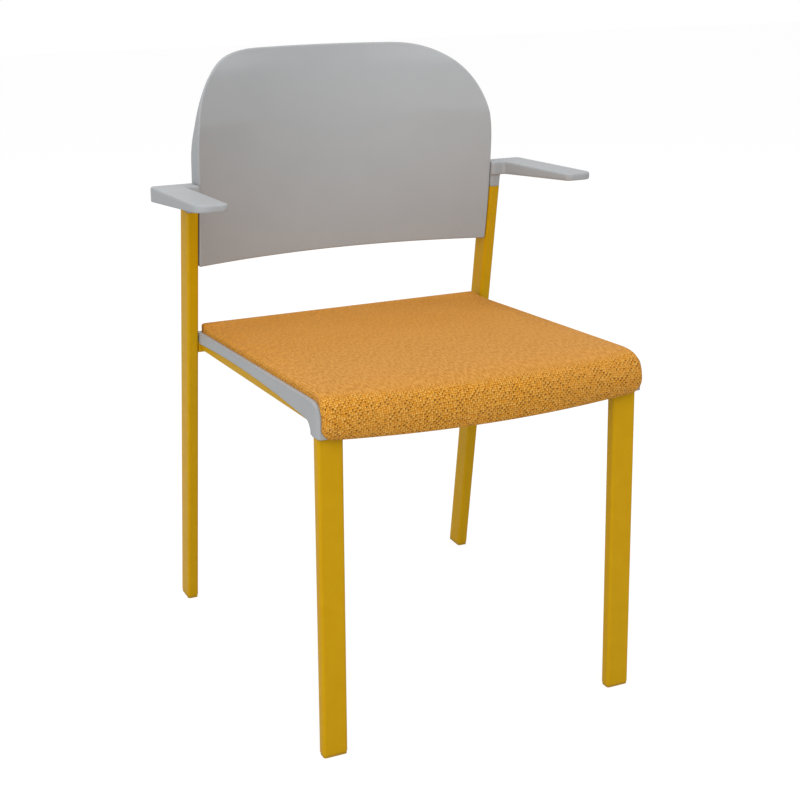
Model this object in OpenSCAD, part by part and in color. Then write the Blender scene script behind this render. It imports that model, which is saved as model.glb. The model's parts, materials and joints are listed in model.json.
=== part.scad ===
// Armchair on four legs: a bent steel frame, a moulded seat pan with an upholstered pad,
// a concave moulded back between the rear tubes, and moulded armrests plugged into them.
// Millimetres. X across the chair, the front faces -Y, Z up, the floor at Z = 0.

/* [Frame tube] */
// Wide side of the tube's section
tube_wide = 34; // [30:0.5:38]
// Narrow side of the tube's section
tube_thin = 17; // [15:0.5:19]
// Wall of the tube
tube_wall = 2; // [1.5:0.1:2.6]
// Outer corner radius of the tube's section
tube_corner_r = 4; // [3:0.5:6]

/* [Front legs and side rails] */
// Gap between each side rail and the pan's flank beside it
rail_side_gap = 0.75; // [0.3:0.05:1.5]
// Distance of the front feet ahead of the chair's middle
front_foot_ahead = 258; // [244:1:262]
// Angle by which each front leg runs out sideways
front_leg_splay = 0.57; // [0:0.05:1.2]
// Angle by which the front legs lean back
front_leg_rake = 1.55; // [0.5:0.05:2.5]
// Inside radius of the bend between leg and rail
leg_bend_r = 12; // [9:0.5:13]
// Height of the rail's centre line at the rear cross tube
rail_rear_z = 432.3; // [400:0.1:460]
// Angle by which the side rails rise to the front
rail_slope = 3.16; // [2:0.1:4]

/* [Rear legs] */
// Half the distance between the rear tubes, centre to centre
rear_leg_half = 240.25; // [236:0.25:252]
// Distance of the rear feet behind the chair's middle
rear_foot_behind = 273.8; // [260:0.1:280]
// Angle by which the rear tubes lean forward
rear_leg_lean = 8.07; // [7:0.1:9]
// Length of each rear tube from the floor to its open top
rear_tube_l = 643; // [620:1:665]

/* [Cross tubes] */
// Height of the rear cross tube's centre line below that of the rails
cross_drop = 2.8; // [2:0.1:6]
// Distance of the front cross tube ahead of the chair's middle
front_cross_ahead = 143; // [100:1:170]

/* [Feet] */
// Height of the glide below the tube's end
glide_h = 4; // [3:0.5:8]
// Step between the tube's side and the glide's side
glide_step = 0.8; // [0.3:0.1:1.5]
// Depth of the glide's plug inside the tube
glide_plug_l = 24; // [16:1:35]

/* [Seat pan] */
// Gap between the pan's sides and the rear tubes
pan_side_gap = 0.75; // [0.5:0.05:2]
// Distance of the pan's rear edge behind the chair's middle
pan_rear = 210; // [205:0.5:212]
// Distance of the pan's front apron ahead of the chair's middle
pan_front = 263.5; // [261:0.5:266]
// Wall of the pan's flanks and apron
pan_wall = 2.8; // [2:0.1:3]
// Thickness of the pan's plate above the rails
plate_t = 3; // [2.5:0.1:4]
// Width of the rim beside the pad
rim_t = 6.5; // [5:0.1:8]
// Width of the rim behind the pad
rear_rim_t = 3.8; // [3:0.1:4.5]
// Height of the rim at the pan's rear edge
rim_over_rail = 9.6; // [7:0.1:12]
// Angle by which the rim rises to the front
rim_slope = 3.75; // [3.2:0.05:4.2]
// Front to back length of the rim's bend down at the front
rim_bend_run = 30.5; // [24:0.5:34]
// Height of the rim's bend down at the front
rim_bend_drop = 17; // [12:0.5:22]
// Plan radius of the pan's front corners
pan_corner_r = 25; // [18:1:30]
// Height of the flank's foot below the rail's top at the front bend
foot_drop = 30.1; // [27:0.1:34]
// Front to back width of the flank's foot
foot_l = 23.5; // [18:0.5:27]
// Rise of the flank's lower edge in its middle
flank_bow = 6.7; // [3:0.1:8]
// Radius of the hollow between foot and flank
foot_fillet_r = 16; // [10:0.5:18]
// Thickness of the ribs below the plate
rib_t = 2; // [1.5:0.1:3]
// Depth of the ribs below the plate
rib_h = 5; // [4:0.5:6.5]
// Number of ribs that run front to back
rib_count = 4; // [2:1:6]

/* [Seat board and pad] */
// Thickness of the board in the pad
board_t = 7; // [5:0.5:9]
// Thickness of foam and cover beside the board
pad_side_t = 6; // [4:0.5:8]
// Height of the pad's side edge above the rim at the rear
pad_edge_rise = 7.9; // [6:0.1:12]
// Lift of the pad's edge along its rear
pad_rear_lift = 4; // [0:0.1:6]
// Angle by which the pad's side edges rise to the front
pad_slope = 3.97; // [3.6:0.05:4.3]
// Crown of the pad in its middle
pad_crown = 6; // [3:0.5:12]
// Reach of the pad's front roll past the apron, in the middle
pad_front_reach = 27.5; // [22:0.5:32]
// Reach of the pad's front roll past the apron, at its corners
pad_corner_reach = 14.5; // [11:0.5:18]
// Distance from the pan's side to the side of the front roll
pad_front_inset = 4; // [2:0.5:6]
// Plan radius of the pad's front corners
pad_corner_r = 13; // [8:0.5:14]
// Front to back radius of the front roll
pad_roll_a = 38; // [28:1:44]
// Distance that the front roll hangs below the pan's foot
pad_hang = 2.4; // [1:0.1:5]
// Rise of the roll's bottom edge from its middle to its corners
pad_low_bow = 3.5; // [0:0.1:6]
// Height of the roll's widest line above the bottom edge
pad_bulge_h = 22; // [14:1:28]
// Amount by which the bottom edge is drawn in under the roll, in the middle
pad_tuck = 6; // [4:0.5:10]
// Amount by which the bottom edge is drawn in under the roll, at its corners
pad_corner_tuck = 14; // [6:0.5:16]
// Radius of the pad's side edges
pad_edge_r = 8; // [5:0.5:10]

/* [Backrest] */
// Gap between the backrest's sides and the rear tubes
back_side_gap = 1.25; // [0.5:0.05:2.5]
// Depth of the backrest's lower edge below the rear tubes' open tops
back_drop = 83.9; // [70:0.1:95]
// Height of the backrest from its lower to its upper edge
back_h = 294.8; // [270:0.5:320]
// Wall of the backrest
back_wall = 4.5; // [3.5:0.1:6]
// Depth of the side walls that lie against the rear tubes
back_side_d = 35.5; // [32:0.5:38]
// Depth of the hollow at the lower edge
back_hollow_low = 35; // [20:1:45]
// Depth of the hollow at shoulder height
back_hollow_high = 84; // [60:1:95]
// Height of the rounded shoulders
back_shoulder_h = 148; // [110:1:170]
// Half the width of the flat top between the shoulders
back_flat_half = 100; // [70:1:130]
// Backward sweep of the middle of the back's top edge
back_sweep = 59.7; // [45:0.5:70]

/* [Armrests] */
// Width of the armrest pad
arm_w = 43.5; // [38:0.5:50]
// Distance from the rear tube's centre line to the pad's outer edge
arm_reach = 54.25; // [48:0.25:64]
// Distance of the pad's front end ahead of the chair's middle
arm_front = 27; // [10:1:50]
// Height of the pad's top above the tube's end, at the rear
arm_rise = 35.5; // [32:0.5:45]
// Angle by which the pad's top rises to the front
arm_slope = 2.84; // [1.5:0.05:4]
// Thickness of the pad at the rear
arm_t_rear = 22; // [18:0.5:26]
// Thickness of the pad at the front
arm_t_front = 10; // [8:0.5:14]
// Radius of the pad's outer front corner
arm_front_r = 19; // [12:0.5:20]
// Radius of the pad's inner front corner
arm_inner_r = 9; // [6:0.5:12]
// Length of the plug inside the rear tube
arm_plug_l = 34; // [26:1:45]

/* [Fasteners] */
// Thread diameter of all screws
screw_d = 6; // [5:0.5:7]
// Diameter of the screw heads
head_d = 12; // [10:0.5:13]
// Height of the screw heads
head_h = 3.3; // [2.5:0.1:4]
// Distance of the seat screws ahead of and behind the chair's middle
seat_screw_set = 105; // [60:1:110]
// Distance of the seat screws from the rails' outer faces
seat_screw_in = 21; // [20:0.5:24]
// Height of the lower back screw above the back's lower edge
low_screw_up = 20; // [14:0.5:26]
// Depth of the upper back screw below the rear tube's end
high_screw_down = 17; // [13:0.5:22]

/* [Hidden] */
$fn = 48;
// Colours of the painted steel, the mouldings, the cover, the board and the screws
steel_paint = [0.80, 0.62, 0.05];
moulding = [0.66, 0.66, 0.67];
cover = [0.84, 0.58, 0.22];
plywood = [0.80, 0.66, 0.45];
zinc = [0.75, 0.76, 0.78];
brass = [0.80, 0.65, 0.30];

// Overrun of every cut past the face it opens
over = 5;
// Gap between parts that seat on each other
seat_gap = 0.3;
// Gap round plugs in the tubes
plug_gap = 0.15;
// Gap between the apron and the pad's roll before it
apron_gap = 0.5;
// Gap round a screw in its hole
hole_gap = 0.3;

// Rear tubes: centre line at a height, and the half depth of their level section
function rear_y(z) = rear_foot_behind - tan(rear_leg_lean) * z;
rear_half_d = tube_wide / 2 / cos(rear_leg_lean);
rear_inner_x = rear_leg_half - tube_thin / 2;
function rear_front_y(z) = rear_y(z) - rear_half_d;
tube_top_z = rear_tube_l * cos(rear_leg_lean);

// Rear cross tube: centred on the rear tubes
cross_z = rail_rear_z - cross_drop;
cross_y = rear_y(cross_z);
rail_rear_y = cross_y - tube_wide / 2;

// Corner point where the centre lines of front leg and side rail would meet
front_foot_y = -front_foot_ahead;
corner_z = (rail_rear_z + tan(rail_slope) * (rail_rear_y - front_foot_y))
    / (1 + tan(rail_slope) * tan(front_leg_rake));
corner_y = front_foot_y + tan(front_leg_rake) * corner_z;
// Rails: just inside the pan's flanks, which fit between the rear tubes
pan_half = rear_inner_x - pan_side_gap;
rail_outer_x = pan_half - pan_wall - rail_side_gap;
rail_x = rail_outer_x - tube_wide / 2;
front_foot_half = rail_x + tan(front_leg_splay) * corner_z;
bend_r = leg_bend_r + tube_thin / 2;
bend_turn = 90 - front_leg_rake + rail_slope;
bend_tangent = bend_r * tan(bend_turn / 2);
function rail_top_z(y) = rail_rear_z + tan(rail_slope) * (rail_rear_y - y)
    + tube_thin / 2 / cos(rail_slope);

// Pan: plate, rim and flank
rim_half = pan_half - rim_t;
function plate_low_z(y) = rail_top_z(y) + seat_gap;
function plate_top_z(y) = plate_low_z(y) + plate_t / cos(rail_slope);
rim_rear_z = rail_top_z(pan_rear) + rim_over_rail + seat_gap;
function rim_z(y) = rim_rear_z + tan(rim_slope) * (pan_rear - y);
pan_foot_z = rail_top_z(-pan_front) - foot_drop;
// Reach of the corners' rounding past the apron, where the pad hides it
pan_corner_past = 13.4;
pan_rear_r = 6;
// Radius of the plate's bend down into the apron
pan_bend_r = 22;
// Visible height of the rail below the flank, at its front and rear end
strip_front = 5.6;
strip_rear = 11.4;
flank_front_y = -pan_front + foot_l + foot_fillet_r;
flank_front_z = rail_top_z(flank_front_y) - tube_thin + strip_front;
// Distance of the flank's rear end from the rear cross tube
flank_end_gap = 6;
flank_rear_y = rail_rear_y - flank_end_gap;
flank_rear_z = rail_top_z(flank_rear_y) - tube_thin + strip_rear;

// Board: lies on the plate, inside the foam and cover
pad_half = rim_half - seat_gap;
pad_rear = pan_rear - rear_rim_t - seat_gap;
board_half = pad_half - pad_side_t - seat_gap;
board_rear = pad_rear - pad_side_t - seat_gap;
board_front = pan_front - pan_bend_r - pad_side_t;
board_corner_r = 12;
function board_top_z(y) = plate_top_z(y) + board_t / cos(rail_slope);

// Pad
pad_rear_run = 60;
function pad_edge_z(y) = rim_rear_z + pad_edge_rise + tan(pad_slope) * (pan_rear - y)
    + pad_rear_lift * pow(max(0, 1 - (pad_rear - y) / pad_rear_run), 2);
pad_bottom_z = pan_foot_z - pad_hang;
pad_bulge_z = pad_bottom_z + pad_bulge_h;

// Back
back_half = rear_inner_x - back_side_gap;
back_low_z = tube_top_z - back_drop;
back_top_z = back_low_z + back_h;
back_shoulder_z = back_top_z - back_shoulder_h;
// Step from the rear tube's front face to the backrest's edge
back_edge_step = 0.3;
low_screw_z = back_low_z + low_screw_up;
high_screw_z = tube_top_z - high_screw_down;

// Inserts, nuts and screws
nut_wall = 1.5;
rivet_nut_d = screw_d + 2 * nut_wall;
rivet_nut_l = 10;
boss_d = 16;
insert_d = screw_d + 2 * nut_wall;
insert_end_gap = 1;
insert_l = tube_thin - 2 * tube_wall - 2 * insert_end_gap;
tee_barrel_wall = 1;
tee_barrel_d = screw_d + 2 * tee_barrel_wall;
tee_flange_d = 19;
tee_flange_t = 1.2;
// Length of a back screw inside its nut
back_screw_grip = 8;
// Width of a screw head's top, as a share of its width
head_top_share = 0.7;

// Rounded rectangle about its centre, with true arcs
module rounded_rect(w, h, r) {
    square([w - 2 * r, h], center = true);
    square([w, h - 2 * r], center = true);
    for (sx = [-1, 1], sy = [-1, 1])
        translate([sx * (w / 2 - r), sy * (h / 2 - r)])
            circle(r);
}

// Section of the tube, drawn in by a wall and a gap
module tube_section(across, deep, inset) {
    rounded_rect(across - 2 * inset, deep - 2 * inset, tube_corner_r - min(inset, tube_corner_r / 2));
}

// Path of points round a polygon whose corners [x, y, r] are rounded, drawn in by d.
// The corners run counter-clockwise. A negative r rounds an inward corner.
function turn_of(a, b, c) = let (u = b - a, v = c - b)
    atan2(u[0] * v[1] - u[1] * v[0], u[0] * v[0] + u[1] * v[1]);
function xy(p) = [p[0], p[1]];
function unit(v) = v / norm(v);
function corner_arc(a, b, c, d, steps) = let (
    bend = turn_of(xy(a), xy(b), xy(c)),
    r = b[2],
    side = bend < 0 ? -1 : 1,
    into = unit(xy(b) - xy(a)),
    normal = [-into[1], into[0]] * side,
    reach = r * tan(abs(bend) / 2),
    centre = xy(b) - into * reach + normal * r,
    arc_r = r - side * d,
    start = atan2(-normal[1], -normal[0])
) [for (k = [0 : steps])
    centre + arc_r * [cos(start + bend * k / steps), sin(start + bend * k / steps)]];
function round_path(corners, d, steps) = let (n = len(corners))
    [for (i = [0 : n - 1])
        each corner_arc(corners[(i + n - 1) % n], corners[i], corners[(i + 1) % n], d, steps)];

// Closed solid through rings of equal length, with fans from a centre point at both ends.
// The rings run counter-clockwise seen from above, from the lower centre outwards and up.
module lofted(rings, low_centre, high_centre) {
    n = len(rings[0]);
    m = len(rings);
    points = concat([for (ring = rings) each ring], [low_centre, high_centre]);
    sides = [for (k = [0 : m - 2], i = [0 : n - 1]) let (
        a = k * n + i,
        b = k * n + (i + 1) % n,
        c = a + n,
        d = b + n
    ) each [[a, d, b], [a, c, d]]];
    low = [for (i = [0 : n - 1]) [m * n, i, (i + 1) % n]];
    high = [for (i = [0 : n - 1]) [m * n + 1, (m - 1) * n + (i + 1) % n, (m - 1) * n + i]];
    polyhedron(points = points, faces = concat(sides, low, high), convexity = 8);
}

// Turns an outline drawn in Y and Z into a slab of width w across X
module across(w) {
    translate([-w / 2, 0, 0])
        rotate([90, 0, 90])
            linear_extrude(w)
                children();
}

// Front leg and side rail: one tube bent at the seat's front corner

// Centre of the bend, in Y and Z
bend_centre = [corner_y, corner_z] + bend_tangent * [cos(rail_slope), -sin(rail_slope)]
    - bend_r * [sin(rail_slope), cos(rail_slope)];
bend_steps = 10;
section_steps = 4;

// Sideways place of the leg's middle plane at a height
function leg_x(z) = rail_x + tan(front_leg_splay) * (corner_z - z);

// Corners of the tube's section, drawn in by a wall or a gap
function section_corners(inset) = let (
    a = tube_wide / 2 - inset,
    b = tube_thin / 2 - inset,
    r = tube_corner_r - min(inset, tube_corner_r / 2)
) [[-a, -b, r], [a, -b, r], [a, b, r], [-a, b, r]];

// Section's points where its outer face looks along angle t of the bend. At the foot and the
// rear they move along the tube to the level or upright plane that cuts its end.
function leg_ring(side, inset, t, cut) = [for (p = round_path(section_corners(inset), 0, section_steps))
    let (
        normal = [cos(t), sin(t)],
        along = [sin(t), -cos(t)],
        q = bend_centre + (bend_r + p[1]) * normal,
        move = cut == "foot" ? (glide_h - q[1]) / along[1]
            : cut == "rear" ? (rail_rear_y - q[0]) / along[0] : 0,
        r = q + move * along
    ) [side * leg_x(r[1]) - p[0], r[0], r[1]]];
function leg_rings(side, inset) = let (start = 180 - front_leg_rake) concat(
    [leg_ring(side, inset, start, "foot")],
    [for (k = [0 : bend_steps]) leg_ring(side, inset, start - bend_turn * k / bend_steps, "none")],
    [leg_ring(side, inset, start - bend_turn, "rear")]
);

// Closed tube between outer and inner rings, which run counter-clockwise seen from its far end
module swept_tube(outer, inner) {
    n = len(outer[0]);
    m = len(outer);
    sides = [for (k = [0 : m - 2], i = [0 : n - 1]) let (
        a = k * n + i,
        b = k * n + (i + 1) % n,
        c = a + n,
        d = b + n,
        e = m * n
    ) each [[a, d, b], [a, c, d], [a + e, b + e, d + e], [a + e, d + e, c + e]]];
    ends = [for (i = [0 : n - 1]) let (
        j = (i + 1) % n,
        e = m * n,
        f = (m - 1) * n
    ) each [[i, j, j + e], [i, j + e, i + e], [f + i, f + j + e, f + j], [f + i, f + i + e, f + j + e]]];
    polyhedron(
        points = [for (ring = concat(outer, inner)) each ring],
        faces = concat(sides, ends),
        convexity = 8
    );
}

// Places a child on the rail at a distance y, with Z square to the rail's top
module at_seat_screw(side, y) {
    translate([side * (rail_outer_x - seat_screw_in), y, rail_top_z(y)])
        rotate([-rail_slope, 0, 0])
            children();
}

module front_leg(side) {
    color(steel_paint)
        difference() {
            swept_tube(leg_rings(side, 0), leg_rings(side, tube_wall));
            for (y = [-seat_screw_set, seat_screw_set])
                at_seat_screw(side, y)
                    translate([0, 0, -tube_thin - over])
                        cylinder(d = screw_d + 2 * hole_gap, h = tube_thin + 2 * over);
        }
}
module left_front_leg() { front_leg(-1); }
module right_front_leg() { front_leg(1); }

// Rear leg: a straight tube from the floor to the armrest

// Places a child at the foot of the rear tube's centre line, with Z along the tube
module on_rear_side(side) {
    translate([side * rear_leg_half, rear_foot_behind, 0])
        rotate([rear_leg_lean, 0, 0])
            children();
}

// Places a child on the rear tube's inner face, with Z pointing out of the tube
module at_back_screw(side, z) {
    translate([side * rear_inner_x, rear_y(z), z])
        rotate([0, -side * 90, 0])
            children();
}

module rear_leg(side) {
    color(steel_paint)
        difference() {
            on_rear_side(side)
                translate([0, 0, -2 * over])
                    linear_extrude(rear_tube_l + 2 * over)
                        tube_section(tube_thin, tube_wide, 0);
            on_rear_side(side)
                translate([0, 0, -3 * over])
                    linear_extrude(rear_tube_l + 4 * over)
                        tube_section(tube_thin, tube_wide, tube_wall);
            // Level cut that leaves room for the glide
            translate([side * rear_leg_half - tube_wide, rear_foot_behind - tube_wide, -4 * over])
                cube([2 * tube_wide, 2 * tube_wide, 4 * over + glide_h]);
            at_back_screw(side, low_screw_z)
                translate([0, 0, -tube_wall - over])
                    cylinder(d = rivet_nut_d, h = tube_wall + 2 * over);
            at_back_screw(side, high_screw_z)
                translate([0, 0, -tube_wall - over])
                    cylinder(d = screw_d + 2 * hole_gap, h = tube_wall + 2 * over);
        }
}
module left_rear_leg() { rear_leg(-1); }
module right_rear_leg() { rear_leg(1); }

// Cross tubes: welded between the rear tubes, and between the side rails

module cross_tube(l) {
    translate([-l / 2, 0, 0])
        rotate([0, 90, 0])
            linear_extrude(l)
                difference() {
                    tube_section(tube_thin, tube_wide, 0);
                    tube_section(tube_thin, tube_wide, tube_wall);
                }
}

module rear_cross_tube() {
    color(steel_paint)
        translate([0, cross_y, cross_z])
            cross_tube(2 * rear_inner_x);
}

module front_cross_tube() {
    color(steel_paint)
        translate([0, -front_cross_ahead, rail_top_z(-front_cross_ahead)])
            rotate([-rail_slope, 0, 0])
                translate([0, 0, -tube_thin / 2])
                    cross_tube(2 * (rail_x - tube_wide / 2) - seat_gap);
}

// Glides: a level sole under the tube, and a plug inside it

module glide(across_w, deep) {
    sole_r = tube_corner_r - glide_step;
    linear_extrude(glide_h)
        rounded_rect(across_w - 2 * glide_step, deep, sole_r);
}

module front_glide(side) {
    color(steel_paint)
        union() {
            translate([side * front_foot_half, front_foot_y, 0])
                glide(tube_wide, tube_thin - 2 * glide_step);
            translate([side * front_foot_half, front_foot_y, 0])
                rotate([-front_leg_rake, -side * front_leg_splay, 0])
                    translate([0, 0, glide_h / 2])
                        linear_extrude(glide_plug_l + glide_h / 2)
                            tube_section(tube_wide, tube_thin, tube_wall + plug_gap);
        }
}
module front_left_glide() { front_glide(-1); }
module front_right_glide() { front_glide(1); }

module rear_glide(side) {
    color(steel_paint)
        union() {
            translate([side * rear_leg_half, rear_foot_behind, 0])
                glide(tube_thin, 2 * rear_half_d);
            intersection() {
                on_rear_side(side)
                    linear_extrude(2 * glide_plug_l)
                        tube_section(tube_thin, tube_wide, tube_wall + plug_gap);
                translate([side * rear_leg_half - tube_wide, rear_foot_behind - tube_wide, glide_h / 2])
                    cube([2 * tube_wide, 2 * tube_wide, glide_plug_l + glide_h / 2]);
            }
        }
}
module rear_left_glide() { rear_glide(-1); }
module rear_right_glide() { rear_glide(1); }

// Seat pan: plate on the rails, rim round the pad, flanks over the rails and a front apron

// Rim's bend: a quarter ellipse from the rim line down to the apron
rim_bend_steps = 10;
rim_bend_y = -pan_front + rim_bend_run;
rim_bend = [for (k = [0 : rim_bend_steps]) let (t = 90 * k / rim_bend_steps)
    [rim_bend_y - rim_bend_run * sin(t), rim_z(rim_bend_y) - rim_bend_drop * (1 - cos(t))
        + tan(rim_slope) * rim_bend_run * sin(t) * cos(t)]];
// Flank's lower edge: a shallow bow from the front to the rear
bow_steps = 16;
flank_edge = [for (k = [0 : bow_steps]) let (s = k / bow_steps)
    [flank_front_y + (flank_rear_y - flank_front_y) * s,
        flank_front_z + (flank_rear_z - flank_front_z) * s + flank_bow * 4 * s * (1 - s)]];
// Hollow between the foot's rear edge and the flank
foot_rear_y = -pan_front + foot_l;
foot_round = 4;
foot_steps = 8;
foot_hollow = [for (k = [0 : foot_steps]) let (t = 90 * k / foot_steps)
    [foot_rear_y + foot_fillet_r * (1 - cos(t)),
        flank_front_z - foot_fillet_r * (1 - sin(t)) ]];

module flank_outline() {
    cross_clear_z = cross_z + tube_thin / 2 + seat_gap;
    polygon(concat(
        [[pan_rear, rim_rear_z]],
        rim_bend,
        [[-pan_front, pan_foot_z], [foot_rear_y - foot_round, pan_foot_z], [foot_rear_y, pan_foot_z + foot_round]],
        foot_hollow,
        flank_edge,
        [[rail_rear_y - seat_gap, flank_rear_z], [rail_rear_y - seat_gap, cross_clear_z],
            [pan_rear, cross_clear_z]]
    ));
}

// Ring of the pan seen from above, with walls of their own beside and behind the pad
module pan_ring(side_t, rear_t) {
    module plan(side_in, rear_in) {
        front = pan_front + pan_corner_past - side_in;
        half = pan_half - side_in;
        rear = pan_rear - rear_in;
        polygon(round_path([
            [-half, -front, pan_corner_r - side_in], [half, -front, pan_corner_r - side_in],
            [half, rear, pan_rear_r - rear_in], [-half, rear, pan_rear_r - rear_in]
        ], 0, 10));
    }
    linear_extrude(2 * rim_rear_z)
        difference() {
            plan(0, 0);
            plan(side_t, rear_t);
        }
}

// Region above the middle of the plate, in which the rim is thick
module above_plate() {
    polygon([
        [pan_rear + over, plate_low_z(pan_rear + over) + plate_t / 2],
        [pan_rear + over, 2 * rim_rear_z],
        [-pan_front - over, 2 * rim_rear_z],
        [-pan_front - over, plate_low_z(-pan_front - over) + plate_t / 2]
    ]);
}

// Plate with its bend down into the apron
module plate_outline() {
    inner_r = pan_bend_r - plate_t;
    rear = pan_rear - rear_rim_t / 2;
    steps = 8;
    outer = [for (k = [0 : steps]) let (t = 90 * k / steps)
        [bend_y - pan_bend_r * sin(t), bend_z + pan_bend_r * cos(t)]];
    inner = [for (k = [steps : -1 : 0]) let (t = 90 * k / steps)
        [bend_y - inner_r * sin(t), bend_z + inner_r * cos(t)]];
    polygon(concat(
        [[rear, plate_top_z(rear)]],
        outer,
        [[-pan_front, pan_foot_z], [-pan_front + plate_t, pan_foot_z]],
        inner,
        [[rear, plate_low_z(rear)]]
    ));
}

// Ribs under the plate, in the two bays that rails and cross tubes leave
front_rib_count = 2;
rear_rib_count = 5;
module pan_ribs() {
    bay_half = rail_x - tube_wide / 2 - 2 * seat_gap;
    // Front and rear end of each bay, and the number of ribs that run across it
    bays = [
        [-pan_front + pan_bend_r + rib_t, -front_cross_ahead - tube_wide / 2 - rib_t, front_rib_count],
        [-front_cross_ahead + tube_wide / 2 + rib_t, rail_rear_y - 3 * rib_t, rear_rib_count]
    ];
    module rib_profile(from_y, to_y) {
        polygon([
            [from_y, plate_low_z(from_y) + plate_t / 2],
            [from_y, plate_low_z(from_y) - rib_h],
            [to_y, plate_low_z(to_y) - rib_h],
            [to_y, plate_low_z(to_y) + plate_t / 2]
        ]);
    }
    for (bay = bays) {
        for (k = [0 : bay[2] - 1]) {
            y = bay[0] + (bay[1] - bay[0]) * k / (bay[2] - 1);
            across(2 * bay_half)
                rib_profile(y - rib_t / 2, y + rib_t / 2);
        }
        for (k = [1 : rib_count])
            translate([bay_half * (2 * k / (rib_count + 1) - 1), 0, 0])
                across(rib_t)
                    rib_profile(bay[0], bay[1]);
    }
}

module seat_pan() {
    color(moulding)
        difference() {
            union() {
                // Rim round the pad
                intersection() {
                    across(2 * pan_half)
                        intersection() {
                            flank_outline();
                            above_plate();
                        }
                    pan_ring(rim_t, rear_rim_t);
                }
                // Thinner flanks, which pass outside the rails
                intersection() {
                    across(2 * pan_half)
                        flank_outline();
                    pan_ring(pan_wall, rear_rim_t);
                }
                across(2 * rim_half + pan_wall)
                    plate_outline();
                pan_ribs();
            }
            for (side = [-1, 1], y = [-seat_screw_set, seat_screw_set])
                at_seat_screw(side, y)
                    cylinder(d = tee_barrel_d + 2 * hole_gap, h = 4 * plate_t);
        }
}

// Seat board: plywood inside the pad, screwed down through the plate

module seat_board() {
    l = (board_rear + board_front) / cos(rail_slope);
    color(plywood)
        difference() {
            translate([0, board_rear, plate_top_z(board_rear)])
                rotate([-rail_slope, 0, 0])
                    translate([0, -l / 2, 0])
                        linear_extrude(board_t)
                            rounded_rect(2 * board_half, l, board_corner_r);
            for (side = [-1, 1], y = [-seat_screw_set, seat_screw_set])
                at_seat_screw(side, y)
                    cylinder(d = tee_barrel_d + 2 * hole_gap, h = 8 * plate_t);
            for (side = [-1, 1], y = [-seat_screw_set, seat_screw_set])
                at_seat_screw(side, y)
                    translate([0, 0, seat_gap + plate_t + board_t - tee_flange_t])
                        cylinder(d = tee_flange_d + 2 * hole_gap, h = board_t);
        }
}

// Seat screws: from below through the rails into the nuts in the board

module button_screw(l) {
    translate([0, 0, -l])
        cylinder(d = screw_d, h = l);
    cylinder(d1 = head_d, d2 = head_d * head_top_share, h = head_h);
}

seat_screw_l = tube_thin + seat_gap + plate_t + board_t - tee_flange_t;
module seat_screws() {
    color(zinc)
        for (side = [-1, 1], y = [-seat_screw_set, seat_screw_set])
            at_seat_screw(side, y)
                translate([0, 0, -tube_thin])
                    rotate([180, 0, 0])
                        button_screw(seat_screw_l);
}

module seat_tee_nuts() {
    color(zinc)
        for (side = [-1, 1], y = [-seat_screw_set, seat_screw_set])
            at_seat_screw(side, y)
                translate([0, 0, seat_gap + plate_t + board_t - tee_flange_t])
                    difference() {
                        union() {
                            cylinder(d = tee_flange_d, h = tee_flange_t);
                            translate([0, 0, -board_t + tee_flange_t])
                                cylinder(d = tee_barrel_d, h = board_t - tee_flange_t);
                        }
                        translate([0, 0, -board_t])
                            cylinder(d = screw_d + hole_gap, h = board_t + over);
                    }
}

// Seat cushion: crowned pad whose sides are drawn in and whose front rolls down over the apron

// Plan of the pad: straight sides inside the rim, a step out past the rim's end, round corners
// and a bowed front. Each point is [x, y, side that it belongs to].
pad_step_y = -pan_front - apron_gap;
pad_side_y = pad_step_y + 2 * apron_gap;
pad_wide_half = pan_half - pad_front_inset;
pad_corner_x = pad_wide_half - pad_corner_r;
pad_rear_r = 4;
pad_side_rear_y = pad_rear - pad_rear_r;
pad_mid_y = (pad_rear - pan_front) / 2;
// Thickness of the roll where it ends beside the apron, and of its bottom edge there
roll_end_t = 0.8;
roll_edge_t = 0.4;
// Height of the roll's round above its bottom edge, where that edge is highest
roll_edge_h = 4;
// Radius of the roll's lower corners
pad_low_r = 16;
// Upright part of the pad's side, and the amount by which its foot is drawn in
side_wall_h = 4;
side_lean = 0.8;
pad_front_steps = 6;
pad_corner_steps = 5;
pad_side_steps = 9;
pad_round_steps = 4;
pad_rear_steps = 3;

// Inner face of the pan's front corner, as a distance from the straight rim
function pan_corner_inset(y) = let (
    r = pan_corner_r - rim_t,
    past = max(0, pan_corner_r - pan_front - pan_corner_past - y)
) r - sqrt(max(0, r * r - past * past));
function front_share(x) = pow(x / pad_corner_x, 2);
function pad_front_y(x) = -pan_front - pad_front_reach
    + (pad_front_reach - pad_corner_reach) * front_share(x);
pad_right = concat(
    [for (k = [1 : pad_front_steps]) let (x = pad_corner_x * k / pad_front_steps)
        [x, pad_front_y(x), "front"]],
    [for (k = [1 : pad_corner_steps]) let (t = 90 * k / pad_corner_steps)
        [pad_corner_x + pad_corner_r * sin(t),
            -pan_front - pad_corner_reach
                + (pad_corner_reach - apron_gap - roll_end_t) * (1 - cos(t)), "front"]],
    [for (k = [0 : pad_side_steps])
        let (y = pad_side_y + (pad_side_rear_y - pad_side_y) * pow(k / pad_side_steps, 1.2))
            [pad_half - pan_corner_inset(y), y, "side"]],
    [for (k = [1 : pad_round_steps]) let (t = 90 * k / pad_round_steps)
        [pad_half - pad_rear_r * (1 - cos(t)), pad_rear - pad_rear_r * (1 - sin(t)), "rear"]],
    [for (k = [1 : pad_rear_steps - 1])
        [(pad_half - pad_rear_r) * (1 - k / pad_rear_steps), pad_rear, "rear"]]
);
pad_n = len(pad_right);
pad_plan = concat(
    [[0, pad_front_y(0), "front"]],
    pad_right,
    [[0, pad_rear, "rear"]],
    [for (k = [pad_n - 1 : -1 : 0]) [-pad_right[k][0], pad_right[k][1], pad_right[k][2]]]
);

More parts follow.
